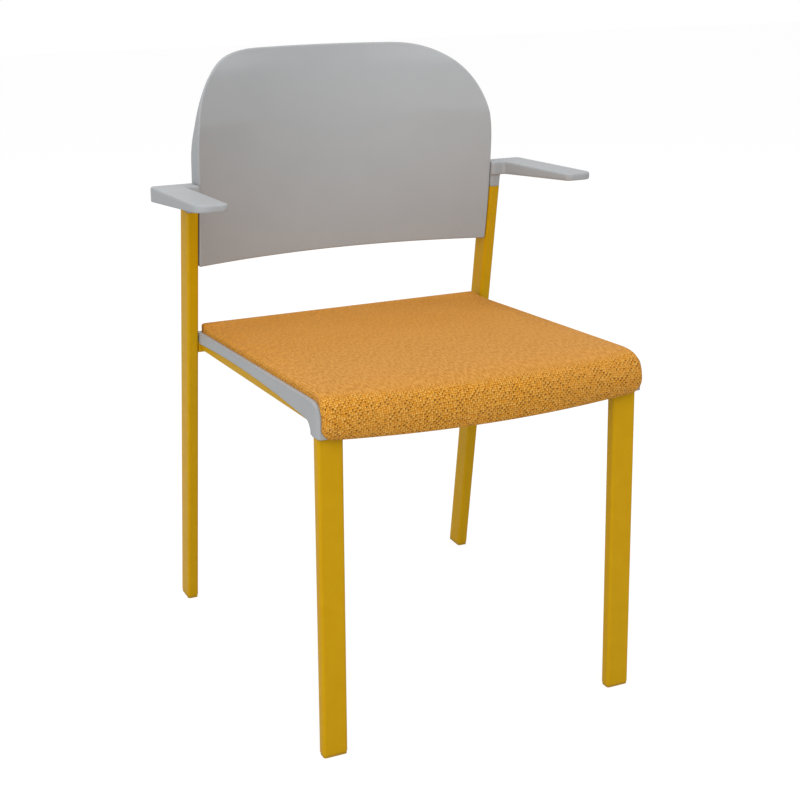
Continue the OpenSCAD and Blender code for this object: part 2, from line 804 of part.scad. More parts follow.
// Bottom edge of the front roll, bowed and rounded up at its lower corners
function pad_low_z(x) = let (past = max(0, abs(x) - (pad_wide_half - pad_low_r)))
    pad_bottom_z + pad_low_bow * pow(x / pad_wide_half, 2)
    + pad_low_r - sqrt(max(0, pow(pad_low_r, 2) - pow(past, 2)));
// Crowned top: full in the middle, flat along the edges
crown_side_power = 2.2;
crown_end_power = 5;
function pad_top_z(x, y) = let (
    sx = min(1, abs(x) / pad_half),
    sy = min(1, abs((y - pad_mid_y) / (pad_rear - pad_mid_y)))
) pad_edge_z(y) + pad_crown * (1 - pow(sx, crown_side_power)) * (1 - pow(sy, crown_end_power));

// Point of the plan drawn in by one distance at the sides and rear, and by another at the
// front. The points of the sides move up evenly to make room.
function drawn_in(p, side_d, front_d) =
    p[2] == "front" ? [
        p[0] - sign(p[0]) * side_d * max(0, (abs(p[0]) - pad_corner_x) / pad_corner_r),
        p[1] + front_d
    ]
    : p[2] == "rear" ? [p[0] - side_d * p[0] / pad_half, p[1] - side_d]
    : let (s = (p[1] - pad_side_y) / (pad_side_rear_y - pad_side_y)) [
        p[0] - sign(p[0]) * side_d,
        p[1] + front_d * (1 - s) - side_d * s
    ];

// Levels of the pad: round the board, under the foam, up the side to edge_level, and round
// the top edge to top_level. At the front they run over the plate's bend, down the apron,
// round the bottom edge and up the roll.
foot_level = 2;
edge_level = 6;
top_level = 10;
function edge_turn(k) = 90 * max(0, k - edge_level) / (top_level - edge_level);
// The pan's bend between plate and apron, cleared by a slanting face
bend_y = -pan_front + pan_bend_r;
bend_z = plate_top_z(bend_y) - pan_bend_r;
bend_cut = (pan_bend_r + apron_gap) * tan(45 / 2);
function front_line(k) = k < foot_level ? -board_front - seat_gap : bend_y - bend_cut;
function front_shift(k) = k <= foot_level ? front_line(k) - pad_side_y
    : pad_roll_a * (1 - cos(edge_turn(k)));
function side_inset(k) = k == 0 ? pad_side_t + seat_gap / 2
    : k <= foot_level ? pad_side_t * (foot_level + 1 - k) / foot_level
    : k <= edge_level ? side_lean * (edge_level - k) / (edge_level - foot_level)
    : pad_edge_r * (1 - cos(edge_turn(k)));
function pad_side_level(p, k) = let (
    q = drawn_in(p, side_inset(k), front_shift(k)),
    foot_z = plate_top_z(q[1]) + seat_gap,
    wall_z = foot_z + side_wall_h
) [q[0], q[1],
    k == 0 ? board_top_z(q[1]) + seat_gap / 2
        : k <= foot_level ? foot_z
        : k <= edge_level ? foot_z + side_wall_h * (k - foot_level) / (edge_level - foot_level)
        : wall_z + (pad_edge_z(q[1]) - wall_z) * sin(edge_turn(k))];
function pad_front_level(p, k) = let (
    x = p[0],
    under_x = x * (pad_half - side_inset(min(k, foot_level))) / pad_wide_half,
    low = pad_low_z(x),
    round_z = max(pad_bulge_z, low + roll_edge_h),
    tuck = pad_tuck + (pad_corner_tuck - pad_tuck) * front_share(x),
    q = drawn_in(p, side_inset(k), front_shift(k))
) k == 0 ? [under_x, front_line(k), board_top_z(-board_front) + seat_gap / 2]
    : k < foot_level ? [under_x, front_line(k), plate_top_z(-board_front) + seat_gap]
    : k == foot_level ? [under_x, front_line(k), bend_z + pan_bend_r + apron_gap]
    : k == foot_level + 1 ? [under_x, pad_step_y, bend_z + bend_cut]
    : k == foot_level + 2 ? [x, pad_step_y, low]
    : k < edge_level ? [x, min(pad_step_y - roll_edge_t, p[1] + tuck), low]
    : k == edge_level ? [x, p[1], round_z]
    : [q[0], q[1], round_z + (pad_edge_z(q[1]) - round_z) * sin(edge_turn(k))];
pad_levels = [for (k = [0 : top_level])
    [for (p = pad_plan) p[2] == "front" ? pad_front_level(p, k) : pad_side_level(p, k)]];
// Rings of the crowned top, as shares of the edge's ring
pad_ring_shares = [0.93, 0.8, 0.55, 0.28];
function pad_inward(share) = [for (p = pad_levels[top_level])
    let (x = p[0] * share, y = pad_mid_y + (p[1] - pad_mid_y) * share) [x, y, pad_top_z(x, y)]];

module seat_cushion() {
    color(cover)
        lofted(
            concat(pad_levels, [for (share = pad_ring_shares) pad_inward(share)]),
            [0, pad_mid_y, board_top_z(pad_mid_y) + seat_gap / 2],
            [0, pad_mid_y, pad_top_z(0, pad_mid_y)]
        );
}

// Backrest shell: a hollow front between two side walls that run out into the top corners

// Half the width at a height: straight sides, then a superellipse over the shoulders
shoulder_power = 2.6;
function shoulder_half(t) = back_flat_half + (back_half - back_flat_half) * pow(cos(t), 2 / shoulder_power);
function shoulder_z(t) = back_shoulder_z + back_shoulder_h * pow(sin(t), 2 / shoulder_power);
// Rows from the lower edge to the top, as [half width, height]
straight_rows = 6;
shoulder_rows = 14;
back_rows = concat(
    [for (k = [0 : straight_rows - 1])
        [back_half, back_low_z + (back_shoulder_z - back_low_z) * k / straight_rows]],
    [for (k = [0 : shoulder_rows]) let (s = k / shoulder_rows, t = 90 * (1 - pow(1 - s, 1.35)))
        [shoulder_half(t), shoulder_z(t)]]
);
// Depth of the hollow, as shares of the way up: it grows to the shoulders and eases to the top
function eased(s) = let (c = max(0, min(1, s))) c * c * (3 - 2 * c);
function rise_share(z) = (z - back_low_z) / back_h;
hollow_full_share = 0.67;
hollow_ease_share = 0.9;
hollow_loss_share = 0.33;
function hollow(z) = let (s = rise_share(z), gain = back_hollow_high - back_hollow_low)
    back_hollow_low + gain * min(1, s / hollow_full_share)
    - gain * hollow_loss_share * eased((s - hollow_ease_share) / (1 - hollow_ease_share));
// Middle of the front face: level with the tubes' lean at the bottom, swept back at the top
sweep_straight_share = 0.36;
function middle_y(z) = let (s = rise_share(z))
    rear_front_y(back_low_z) + back_edge_step + back_hollow_low
    + back_sweep * (sweep_straight_share * s + (1 - sweep_straight_share) * s * s);
function face_y(x, z) = middle_y(z) - hollow(z) * pow(abs(x) / back_half, 2);
// Depth of the side walls, run out to little more than the wall's thickness over the
// shoulders, as shares of their height
back_lip = 0.6;
side_full_share = 0.02;
side_run_share = 0.72;
function side_depth(z) = let (s = (z - back_shoulder_z) / back_shoulder_h, least = back_wall + back_lip)
    least + (back_side_d - least) * (1 - eased((s - side_full_share) / side_run_share));

face_steps = 24;
function back_ring(w, z) = let (
    edge_y = face_y(w, z),
    rear_y = edge_y + side_depth(z),
    wall = back_wall,
    inner_y = min(rear_y - back_lip / 2, face_y(w - wall, z) + wall)
) concat(
    [for (k = [0 : face_steps]) let (x = w * (2 * k / face_steps - 1)) [x, face_y(x, z), z]],
    [[w, (edge_y + rear_y) / 2, z], [w, rear_y, z], [w - wall, rear_y, z], [w - wall, inner_y, z]],
    [for (k = [face_steps - 1 : -1 : 1]) let (x = (w - wall) * (2 * k / face_steps - 1))
        [x, face_y(x, z) + wall, z]],
    [[-w + wall, inner_y, z], [-w + wall, rear_y, z], [-w, rear_y, z], [-w, (edge_y + rear_y) / 2, z]]
);

// Solid through level rings that aren't convex: the ends are closed as strips between the
// front and the rear of the ring
module backrest_shell() {
    rings = [for (row = back_rows) back_ring(row[0], row[1])];
    n = len(rings[0]);
    m = len(rings);
    f = face_steps;
    // Point k of the front face faces point back_of(k) of the rear face
    function back_of(k) = k == f ? f + 4 : k == 0 ? n - 4 : 2 * f + 4 - k;
    function strip(base, flip) = [for (k = [0 : f - 1])
        let (a = base + k, b = base + k + 1, c = base + back_of(k + 1), d = base + back_of(k))
            each (flip ? [[a, c, b], [a, d, c]] : [[a, b, c], [a, c, d]])];
    function side_caps(base, flip) = [for (q = [
            [f, f + 1, f + 4], [f + 1, f + 3, f + 4], [f + 1, f + 2, f + 3],
            [0, n - 4, n - 1], [n - 1, n - 4, n - 3], [n - 1, n - 3, n - 2]])
        flip ? [base + q[0], base + q[2], base + q[1]] : [base + q[0], base + q[1], base + q[2]]];
    sides = [for (k = [0 : m - 2], i = [0 : n - 1]) let (
        a = k * n + i,
        b = k * n + (i + 1) % n,
        c = a + n,
        d = b + n
    ) each [[a, d, b], [a, c, d]]];
    top = (m - 1) * n;
    color(moulding)
        difference() {
            union() {
                polyhedron(
                    points = [for (ring = rings) each ring],
                    faces = concat(sides, strip(0, false), side_caps(0, false),
                        strip(top, true), side_caps(top, true)),
                    convexity = 8
                );
                // Bosses that seat on the rear tubes
                for (side = [-1, 1], z = [low_screw_z, high_screw_z])
                    at_back_screw(side, z)
                        cylinder(d = boss_d, h = back_side_gap + back_wall / 2);
            }
            for (side = [-1, 1], z = [low_screw_z, high_screw_z])
                at_back_screw(side, z)
                    translate([0, 0, -over])
                        cylinder(d = screw_d + 2 * hole_gap, h = back_wall + 3 * over);
        }
}

// Back screws: from inside the side walls into the rear tubes

back_screw_l = back_wall + back_side_gap + tube_wall + back_screw_grip;
module back_screws() {
    color(zinc)
        for (side = [-1, 1], z = [low_screw_z, high_screw_z])
            at_back_screw(side, z)
                translate([0, 0, back_side_gap + back_wall])
                    button_screw(back_screw_l);
}

module back_rivet_nuts() {
    color(zinc)
        for (side = [-1, 1])
            at_back_screw(side, low_screw_z)
                difference() {
                    translate([0, 0, -rivet_nut_l])
                        cylinder(d = rivet_nut_d - hole_gap, h = rivet_nut_l);
                    translate([0, 0, -rivet_nut_l - over])
                        cylinder(d = screw_d + hole_gap, h = rivet_nut_l + 2 * over);
                }
}

module armrest_inserts() {
    color(brass)
        for (side = [-1, 1])
            at_back_screw(side, high_screw_z)
                translate([0, 0, -tube_wall - plug_gap - insert_l])
                    difference() {
                        cylinder(d = insert_d, h = insert_l);
                        translate([0, 0, -over])
                            cylinder(d = screw_d + hole_gap, h = insert_l + 2 * over);
                    }
}

// Armrests: a pad that tapers to the front, a stub that continues the tube, and a plug in it

// Distance of the pad's rear edge ahead of the tube's line
arm_rear_inset = 3;
arm_rear_y = rear_y(tube_top_z + arm_rise) + rear_half_d - arm_rear_inset;
arm_bar_y = arm_rear_y - tube_wide;
arm_outer_half = rear_leg_half + arm_reach;
arm_inner_half = arm_outer_half - arm_w;
// Step of the pad's root past the inner face of the tube
arm_root_step = 0.5;
arm_root_half = rear_inner_x - arm_root_step;
arm_outer_rear_r = 8;
arm_nook_r = 5;
arm_root_r = 2;
arm_edge_r = 2.5;
arm_low_r = 1;
function arm_top_z(y) = tube_top_z + arm_rise + tan(arm_slope) * (arm_rear_y - y);
function arm_t(y) = let (s = (arm_rear_y - y) / (arm_rear_y + arm_front))
    arm_t_rear + (arm_t_front - arm_t_rear) * s;
function arm_low_z(y) = arm_top_z(y) - arm_t(y);
// Plan of the right armrest, counter-clockwise from its front
arm_corners = [
    [arm_inner_half, -arm_front, arm_inner_r],
    [arm_outer_half, -arm_front, arm_front_r],
    [arm_outer_half, arm_rear_y, arm_outer_rear_r],
    [arm_root_half, arm_rear_y, arm_root_r],
    [arm_root_half, arm_bar_y, arm_root_r],
    [arm_inner_half, arm_bar_y, arm_nook_r]
];
arm_corner_steps = 6;
arm_edge_steps = 3;
arm_low_steps = 2;
function arm_ring(d, share, lift) = [for (p = round_path(arm_corners, d, arm_corner_steps))
    [p[0], p[1], arm_low_z(p[1]) + arm_t(p[1]) * share + lift]];
// Point over the tube from which the whole plan is in view
arm_hub = [(arm_inner_half + arm_outer_half) / 2, (arm_bar_y + arm_rear_y) / 2];

module armrest_pad() {
    low_rounding = [for (k = [0 : arm_low_steps]) let (t = 90 * k / arm_low_steps)
        arm_ring(arm_low_r * (1 - sin(t)), 0, arm_low_r * (1 - cos(t)))];
    rounding = [for (k = [0 : arm_edge_steps]) let (t = 90 * k / arm_edge_steps)
        arm_ring(arm_edge_r * (1 - cos(t)), 1, -arm_edge_r * (1 - sin(t)))];
    lofted(
        concat(low_rounding, rounding),
        [arm_hub[0], arm_hub[1], arm_low_z(arm_hub[1])],
        [arm_hub[0], arm_hub[1], arm_top_z(arm_hub[1])]
    );
}

module armrest(side) {
    color(moulding)
        difference() {
            union() {
                if (side > 0)
                    armrest_pad();
                else
                    mirror([1, 0, 0])
                        armrest_pad();
                // Stub with the tube's own section, and the plug below it
                on_rear_side(side)
                    translate([0, 0, rear_tube_l])
                        linear_extrude(arm_rise - arm_t_rear / 2)
                            tube_section(tube_thin, tube_wide, 0);
                on_rear_side(side)
                    translate([0, 0, rear_tube_l - arm_plug_l])
                        linear_extrude(arm_plug_l + over)
                            tube_section(tube_thin, tube_wide, tube_wall + plug_gap);
            }
            at_back_screw(side, high_screw_z)
                translate([0, 0, -tube_wall - plug_gap - insert_l])
                    cylinder(d = insert_d, h = insert_l + over);
        }
}
module left_armrest() { armrest(-1); }
module right_armrest() { armrest(1); }

left_front_leg();
right_front_leg();
left_rear_leg();
right_rear_leg();
front_cross_tube();
rear_cross_tube();
front_left_glide();
front_right_glide();
rear_left_glide();
rear_right_glide();
seat_pan();
seat_board();
seat_cushion();
seat_screws();
seat_tee_nuts();
backrest_shell();
back_screws();
back_rivet_nuts();
armrest_inserts();
left_armrest();
right_armrest();
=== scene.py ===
"""Looks of the four-legged armchair, in metres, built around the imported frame."""

import json
import math

import bmesh
import bpy
import numpy as np
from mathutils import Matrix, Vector
from mathutils.bvhtree import BVHTree
from mathutils.interpolate import poly_3d_calc


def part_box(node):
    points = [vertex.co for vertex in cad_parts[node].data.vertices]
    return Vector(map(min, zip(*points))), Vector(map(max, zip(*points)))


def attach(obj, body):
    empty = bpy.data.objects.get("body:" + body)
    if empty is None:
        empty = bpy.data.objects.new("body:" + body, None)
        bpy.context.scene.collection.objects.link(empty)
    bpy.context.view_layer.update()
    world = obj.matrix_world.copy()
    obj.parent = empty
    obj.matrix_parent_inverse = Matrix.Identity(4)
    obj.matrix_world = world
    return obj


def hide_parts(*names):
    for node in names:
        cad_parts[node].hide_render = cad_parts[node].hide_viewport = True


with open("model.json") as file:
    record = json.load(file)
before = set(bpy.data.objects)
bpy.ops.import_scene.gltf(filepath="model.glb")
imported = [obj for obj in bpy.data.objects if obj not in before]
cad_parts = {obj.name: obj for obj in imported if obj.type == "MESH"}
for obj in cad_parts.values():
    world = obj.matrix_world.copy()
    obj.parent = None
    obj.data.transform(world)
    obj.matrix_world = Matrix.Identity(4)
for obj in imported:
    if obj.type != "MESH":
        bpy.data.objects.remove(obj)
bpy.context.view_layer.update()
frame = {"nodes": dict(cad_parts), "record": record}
MM = 0.001

# Camera of the photograph
CAMERA_AT = (-0.858192, -1.830687, 1.055238)
CAMERA_AZIMUTH = 25.172
CAMERA_DROP = 18.623
FOCAL_PIXELS = 1497.36
PHOTO_PIXELS = 800
SHIFT_PIXELS = 0.5
SENSOR = 36.0

# Frame tube
TUBE_WIDE = 34 * MM
TUBE_THIN = 17 * MM


def make_camera():
    """The camera that was solved from the photograph."""
    data = bpy.data.cameras.new("camera")
    data.sensor_width = SENSOR
    data.lens = FOCAL_PIXELS / PHOTO_PIXELS * SENSOR
    data.shift_x = -SHIFT_PIXELS / PHOTO_PIXELS
    data.shift_y = SHIFT_PIXELS / PHOTO_PIXELS
    data.clip_end = 60.0
    camera = bpy.data.objects.new("camera", data)
    bpy.context.scene.collection.objects.link(camera)
    azimuth, drop = math.radians(CAMERA_AZIMUTH), math.radians(CAMERA_DROP)
    forward = Vector((
        math.sin(azimuth) * math.cos(drop),
        math.cos(azimuth) * math.cos(drop),
        -math.sin(drop),
    ))
    camera.location = CAMERA_AT
    camera.rotation_euler = forward.to_track_quat("-Z", "Y").to_euler()
    bpy.context.scene.camera = camera


# Colours of the finishes
PAINT = (0.595, 0.330, 0.002)
PAINT_DARK = (0.587, 0.323, 0.0015)
PAINT_LIGHT = (0.605, 0.337, 0.0025)
GLIDE = (0.52, 0.29, 0.005)
GLIDE_SCUFFED = (0.30, 0.19, 0.035)
GREY = (0.389, 0.402, 0.414)
GREY_DARK = (0.384, 0.397, 0.409)
GREY_LIGHT = (0.394, 0.407, 0.419)
WOOD_DARK = (0.50, 0.34, 0.18)
WOOD_LIGHT = (0.66, 0.50, 0.31)
WOOD_LAYER = (0.30, 0.18, 0.09)
ZINC = (0.62, 0.62, 0.64)
BRASS = (0.72, 0.53, 0.22)

# Ranges of the finishes' roughness, and how far a metal's strays from its own
COAT_ROUGHNESS = (0.32, 0.42)
MOULD_ROUGHNESS = (0.50, 0.62)
KNIT_ROUGHNESS = (0.80, 0.92)
METAL_SMOOTHER = 0.06
METAL_ROUGHER = 0.08

# Rounding of the mouldings' edges in their shading
MOULDED_EDGE = 1.8 * MM

# Range in which most values of a noise lie
BAND = (0.3, 0.7)

# Scales of the finishes' noise, in cells per metre
PEEL_SCALE = 620
COAT_WAVE_SCALE = 45
COAT_DUST_SCALE = 160
SCUFF_SCALE = 900
GLIDE_GRAIN_SCALE = 1400
MOTTLE_SCALE = 14
MOULD_GRAIN_SCALE = 1500
SWAY_SCALE = 55
STREAK_SCALE = 380
PATCH_SCALE = 9
FIBRE_SCALE = 1500
GAP_SCALE = 270
WOOD_GRAIN_SCALE = 180
PLY_SCALE = 110
MARK_SCALE = 900

# Depths of the finishes' relief, in metres
PEEL_DEPTH = 0.12 * MM
COAT_WAVE_DEPTH = 0.4 * MM
GLIDE_GRAIN_DEPTH = 0.08 * MM
MOULD_GRAIN_DEPTH = 0.10 * MM
KNIT_DEPTH = 0.8 * MM
WOOD_DEPTH = 0.3 * MM
MARK_DEPTH = 0.05 * MM

# The glides are scuffed below this height, in spots
SCUFF_TOP = 4 * MM
SCUFF_BAND = (0.45, 0.65)

# Knit of the seat
STITCH = 3.0 * MM
STITCH_SWAY = 2.2 * MM
HOLE_LEAN = math.radians(38)
HOLE_LONG = 0.66
HOLE_HIGH = 0.40
# Distances from a hole's or a knob's middle between which it fades, in its own size
HOLE_FADE = (1.0, 0.45)
KNOB_FADE = (0.60, 0.12)
# Chance from which a cell has a hole, and the depths that holes then have
HOLE_CHANCE = 0.10
HOLE_DEPTHS = (0.05, 0.86)
KNOB_STRAY = 0.45
# Strength of the holes and gaps on flat cloth, both filled with painted shade, and of the knobs in
# its relief
FLAT_HOLES = 0.32
FLAT_GAPS = 0.60
FLAT_KNOBS = 0.35
# Strength of the ribs across and along the cloth
RIB_ACROSS = 0.36
RIB_ALONG = 0.14
# Ranges of the noises that draw streaks, gaps and fibres, and stretch of their cells
STREAK_BAND = (0.40, 0.60)
STREAK_CELLS = (1.0, 0.28, 1.0)
GAP_BAND = (0.50, 0.62)
GAP_CELLS = (0.9, 0.60, 1.0)
FIBRE_BAND = (0.25, 0.75)
FIBRE_WIDE_BAND = (0.2, 0.8)
# Opening between which flat cloth turns into stretched cloth, in colour and in relief
TONE_TURN = (0.05, 0.75)
RELIEF_TURN = (0.0, 0.8)
# Shares of the worn patches and the fibres in the colour, of holes and fibres in the relief
WORN_SHARE = 0.30
FIBRE_SHARE = 0.16
HOLE_RELIEF = 1.3
FIBRE_RELIEF = 0.30
# Painted shade on the seat's top towards the backrest: full behind the first line, gone ahead of
# the second
REAR_SHADE_FULL_AT = 200 * MM
REAR_SHADE_GONE_AT = -220 * MM
KNIT_MEAN = (0.66, 0.30, 0.06)
SHEEN_TINT = (1.0, 0.85, 0.62)
FLAT_TONE = (0.750, 0.378, 0.088)
# Painted shade: the top's darker, deeper orange by the backrest
REAR_PAINTED_SHADE = (0.700, 0.295, 0.014)
# Painted shade in the grooves between the ribs and along the streaks
RIB_PAINTED_SHADE = (0.44, 0.172, 0.018)
KNOB_TONE = (0.86, 0.375, 0.026)
# Painted highlight on the knobs' tops
KNOB_PAINTED_HIGHLIGHT = (1.0, 0.58, 0.130)
# Painted shade round the knobs and in the knit's gaps, and also the colour of its dark fibres
KNIT_PAINTED_SHADE_AND_DARK_FIBRE = (0.52, 0.195, 0.010)
WORN_TONE = (0.66, 0.30, 0.055)
# Painted shade inside the knit's holes
HOLE_PAINTED_SHADE = (0.10, 0.028, 0.003)


class Shader:
    """A material with one principled shader, built from short calls.

    The values given with its name show where a viewer doesn't follow the nodes.
    """

    def __init__(self, name, **sockets):
        self.material = bpy.data.materials.new(name)
        self.material.use_nodes = True
        self.nodes = self.material.node_tree.nodes
        self.nodes.clear()
        self.bsdf = self.add("ShaderNodeBsdfPrincipled")
        out = self.add("ShaderNodeOutputMaterial")
        self.join(self.bsdf.outputs["BSDF"], out.inputs["Surface"])
        for socket, value in sockets.items():
            label = socket.replace("_", " ").title().replace("Ior", "IOR")
            self.put(value, self.bsdf.inputs[label])

    def add(self, kind, **settings):
        node = self.nodes.new(kind)
        for key, value in settings.items():
            setattr(node, key, value)
        return node

    def join(self, source, target):
        self.material.node_tree.links.new(source, target)

    def put(self, value, target):
        if isinstance(value, bpy.types.NodeSocket):
            self.join(value, target)
        elif hasattr(value, "__len__") and len(value) == 3 and target.type == "RGBA":
            target.default_value = (*value, 1.0)
        else:
            target.default_value = value

    def coords(self):
        return self.add("ShaderNodeTexCoord").outputs["Object"]

    def attribute(self, name, output="Vector"):
        return self.add("ShaderNodeAttribute", attribute_name=name).outputs[output]

    def maths(self, operation, a, b=0.0, clamp=False):
        node = self.add("ShaderNodeMath", operation=operation, use_clamp=clamp)
        self.put(a, node.inputs[0])
        self.put(b, node.inputs[1])
        return node.outputs["Value"]

    def total(self, a, a_share, b, b_share):
        """Sum of two values, each times its share."""
        return self.maths(
            "ADD", self.maths("MULTIPLY", a, a_share), self.maths("MULTIPLY", b, b_share),
        )

    def scaled(self, vector, scale):
        node = self.add("ShaderNodeMapping")
        self.put(vector, node.inputs["Vector"])
        node.inputs["Scale"].default_value = scale
        return node.outputs["Vector"]

    def noise(self, vector, scale, detail=3.0, roughness=0.5):
        node = self.add("ShaderNodeTexNoise")
        self.put(vector, node.inputs["Vector"])
        node.inputs["Scale"].default_value = scale
        node.inputs["Detail"].default_value = detail
        node.inputs["Roughness"].default_value = roughness
        return node.outputs["Fac"]

    def spread(self, value, low, high, to_low=0.0, to_high=1.0):
        """The value's range from low to high drawn out to a new range, with soft ends."""
        node = self.add("ShaderNodeMapRange", interpolation_type="SMOOTHSTEP")
        for socket, number in (
            ("Value", value), ("From Min", low), ("From Max", high),
            ("To Min", to_low), ("To Max", to_high),
        ):
            self.put(number, node.inputs[socket])
        return node.outputs["Result"]

    def mix(self, factor, a, b, blend="MIX"):
        # The node's sockets 6 and 7 take colours, and its output 2 gives one
        node = self.add("ShaderNodeMix", data_type="RGBA", blend_type=blend)
        self.put(factor, node.inputs[0])
        self.put(a, node.inputs[6])
        self.put(b, node.inputs[7])
        return node.outputs[2]

    def bump(self, height, distance, strength=1.0, normal=None):
        node = self.add("ShaderNodeBump")
        node.inputs["Strength"].default_value = strength
        node.inputs["Distance"].default_value = distance
        self.put(height, node.inputs["Height"])
        if normal is not None:
            self.put(normal, node.inputs["Normal"])
        return node.outputs["Normal"]


def painted_steel():
    """Powder coat: a fine orange peel over a slow wave, and a little dust in its gloss."""
    s = Shader(
        "frame_paint", base_color=PAINT, roughness=0.40, ior=1.5, specular_ior_level=0.10,
    )
    place = s.coords()
    peel = s.noise(place, PEEL_SCALE, detail=2.0)
    wave = s.noise(place, COAT_WAVE_SCALE, detail=2.0)
    dust = s.noise(place, COAT_DUST_SCALE)
    tone = s.mix(s.spread(wave, *BAND), PAINT_DARK, PAINT_LIGHT)
    s.put(tone, s.bsdf.inputs["Base Color"])
    s.put(s.spread(dust, *BAND, *COAT_ROUGHNESS), s.bsdf.inputs["Roughness"])
    waves = s.bump(wave, COAT_WAVE_DEPTH, strength=0.10)
    s.put(s.bump(peel, PEEL_DEPTH, strength=0.5, normal=waves), s.bsdf.inputs["Normal"])
    return s.material


def glide_plastic():
    """Moulded feet in the frame's yellow, scuffed near the floor."""
    s = Shader("glide_plastic", base_color=GLIDE, roughness=0.45, specular_ior_level=0.2)
    place = s.coords()
    height = s.add("ShaderNodeSeparateXYZ")
    s.put(place, height.inputs[0])
    scuff = s.maths(
        "MULTIPLY",
        s.spread(height.outputs["Z"], SCUFF_TOP, 0.0),
        s.spread(s.noise(place, SCUFF_SCALE), *SCUFF_BAND),
    )
    s.put(s.mix(scuff, GLIDE, GLIDE_SCUFFED), s.bsdf.inputs["Base Color"])
    grain = s.noise(place, GLIDE_GRAIN_SCALE, detail=2.0)
    s.put(s.bump(grain, GLIDE_GRAIN_DEPTH, strength=0.5), s.bsdf.inputs["Normal"])
    return s.material


def grey_moulding():
    """Grained plastic: a fine sparkle grain, and a faint mottle in its tone and gloss."""
    s = Shader(
        "grey_moulding", base_color=GREY, roughness=0.55, ior=1.46, specular_ior_level=0.35,
    )
    place = s.coords()
    mottle = s.noise(place, MOTTLE_SCALE)
    grain = s.noise(place, MOULD_GRAIN_SCALE, roughness=0.6)
    tone = s.mix(s.spread(mottle, *BAND), GREY_DARK, GREY_LIGHT)
    s.put(tone, s.bsdf.inputs["Base Color"])
    s.put(s.spread(grain, *BAND, *MOULD_ROUGHNESS), s.bsdf.inputs["Roughness"])
    rounded = s.add("ShaderNodeBevel", samples=6)
    rounded.inputs["Radius"].default_value = MOULDED_EDGE
    smoothed = rounded.outputs["Normal"]
    relief = s.bump(grain, MOULD_GRAIN_DEPTH, strength=0.55, normal=smoothed)
    s.put(relief, s.bsdf.inputs["Normal"])
    return s.material


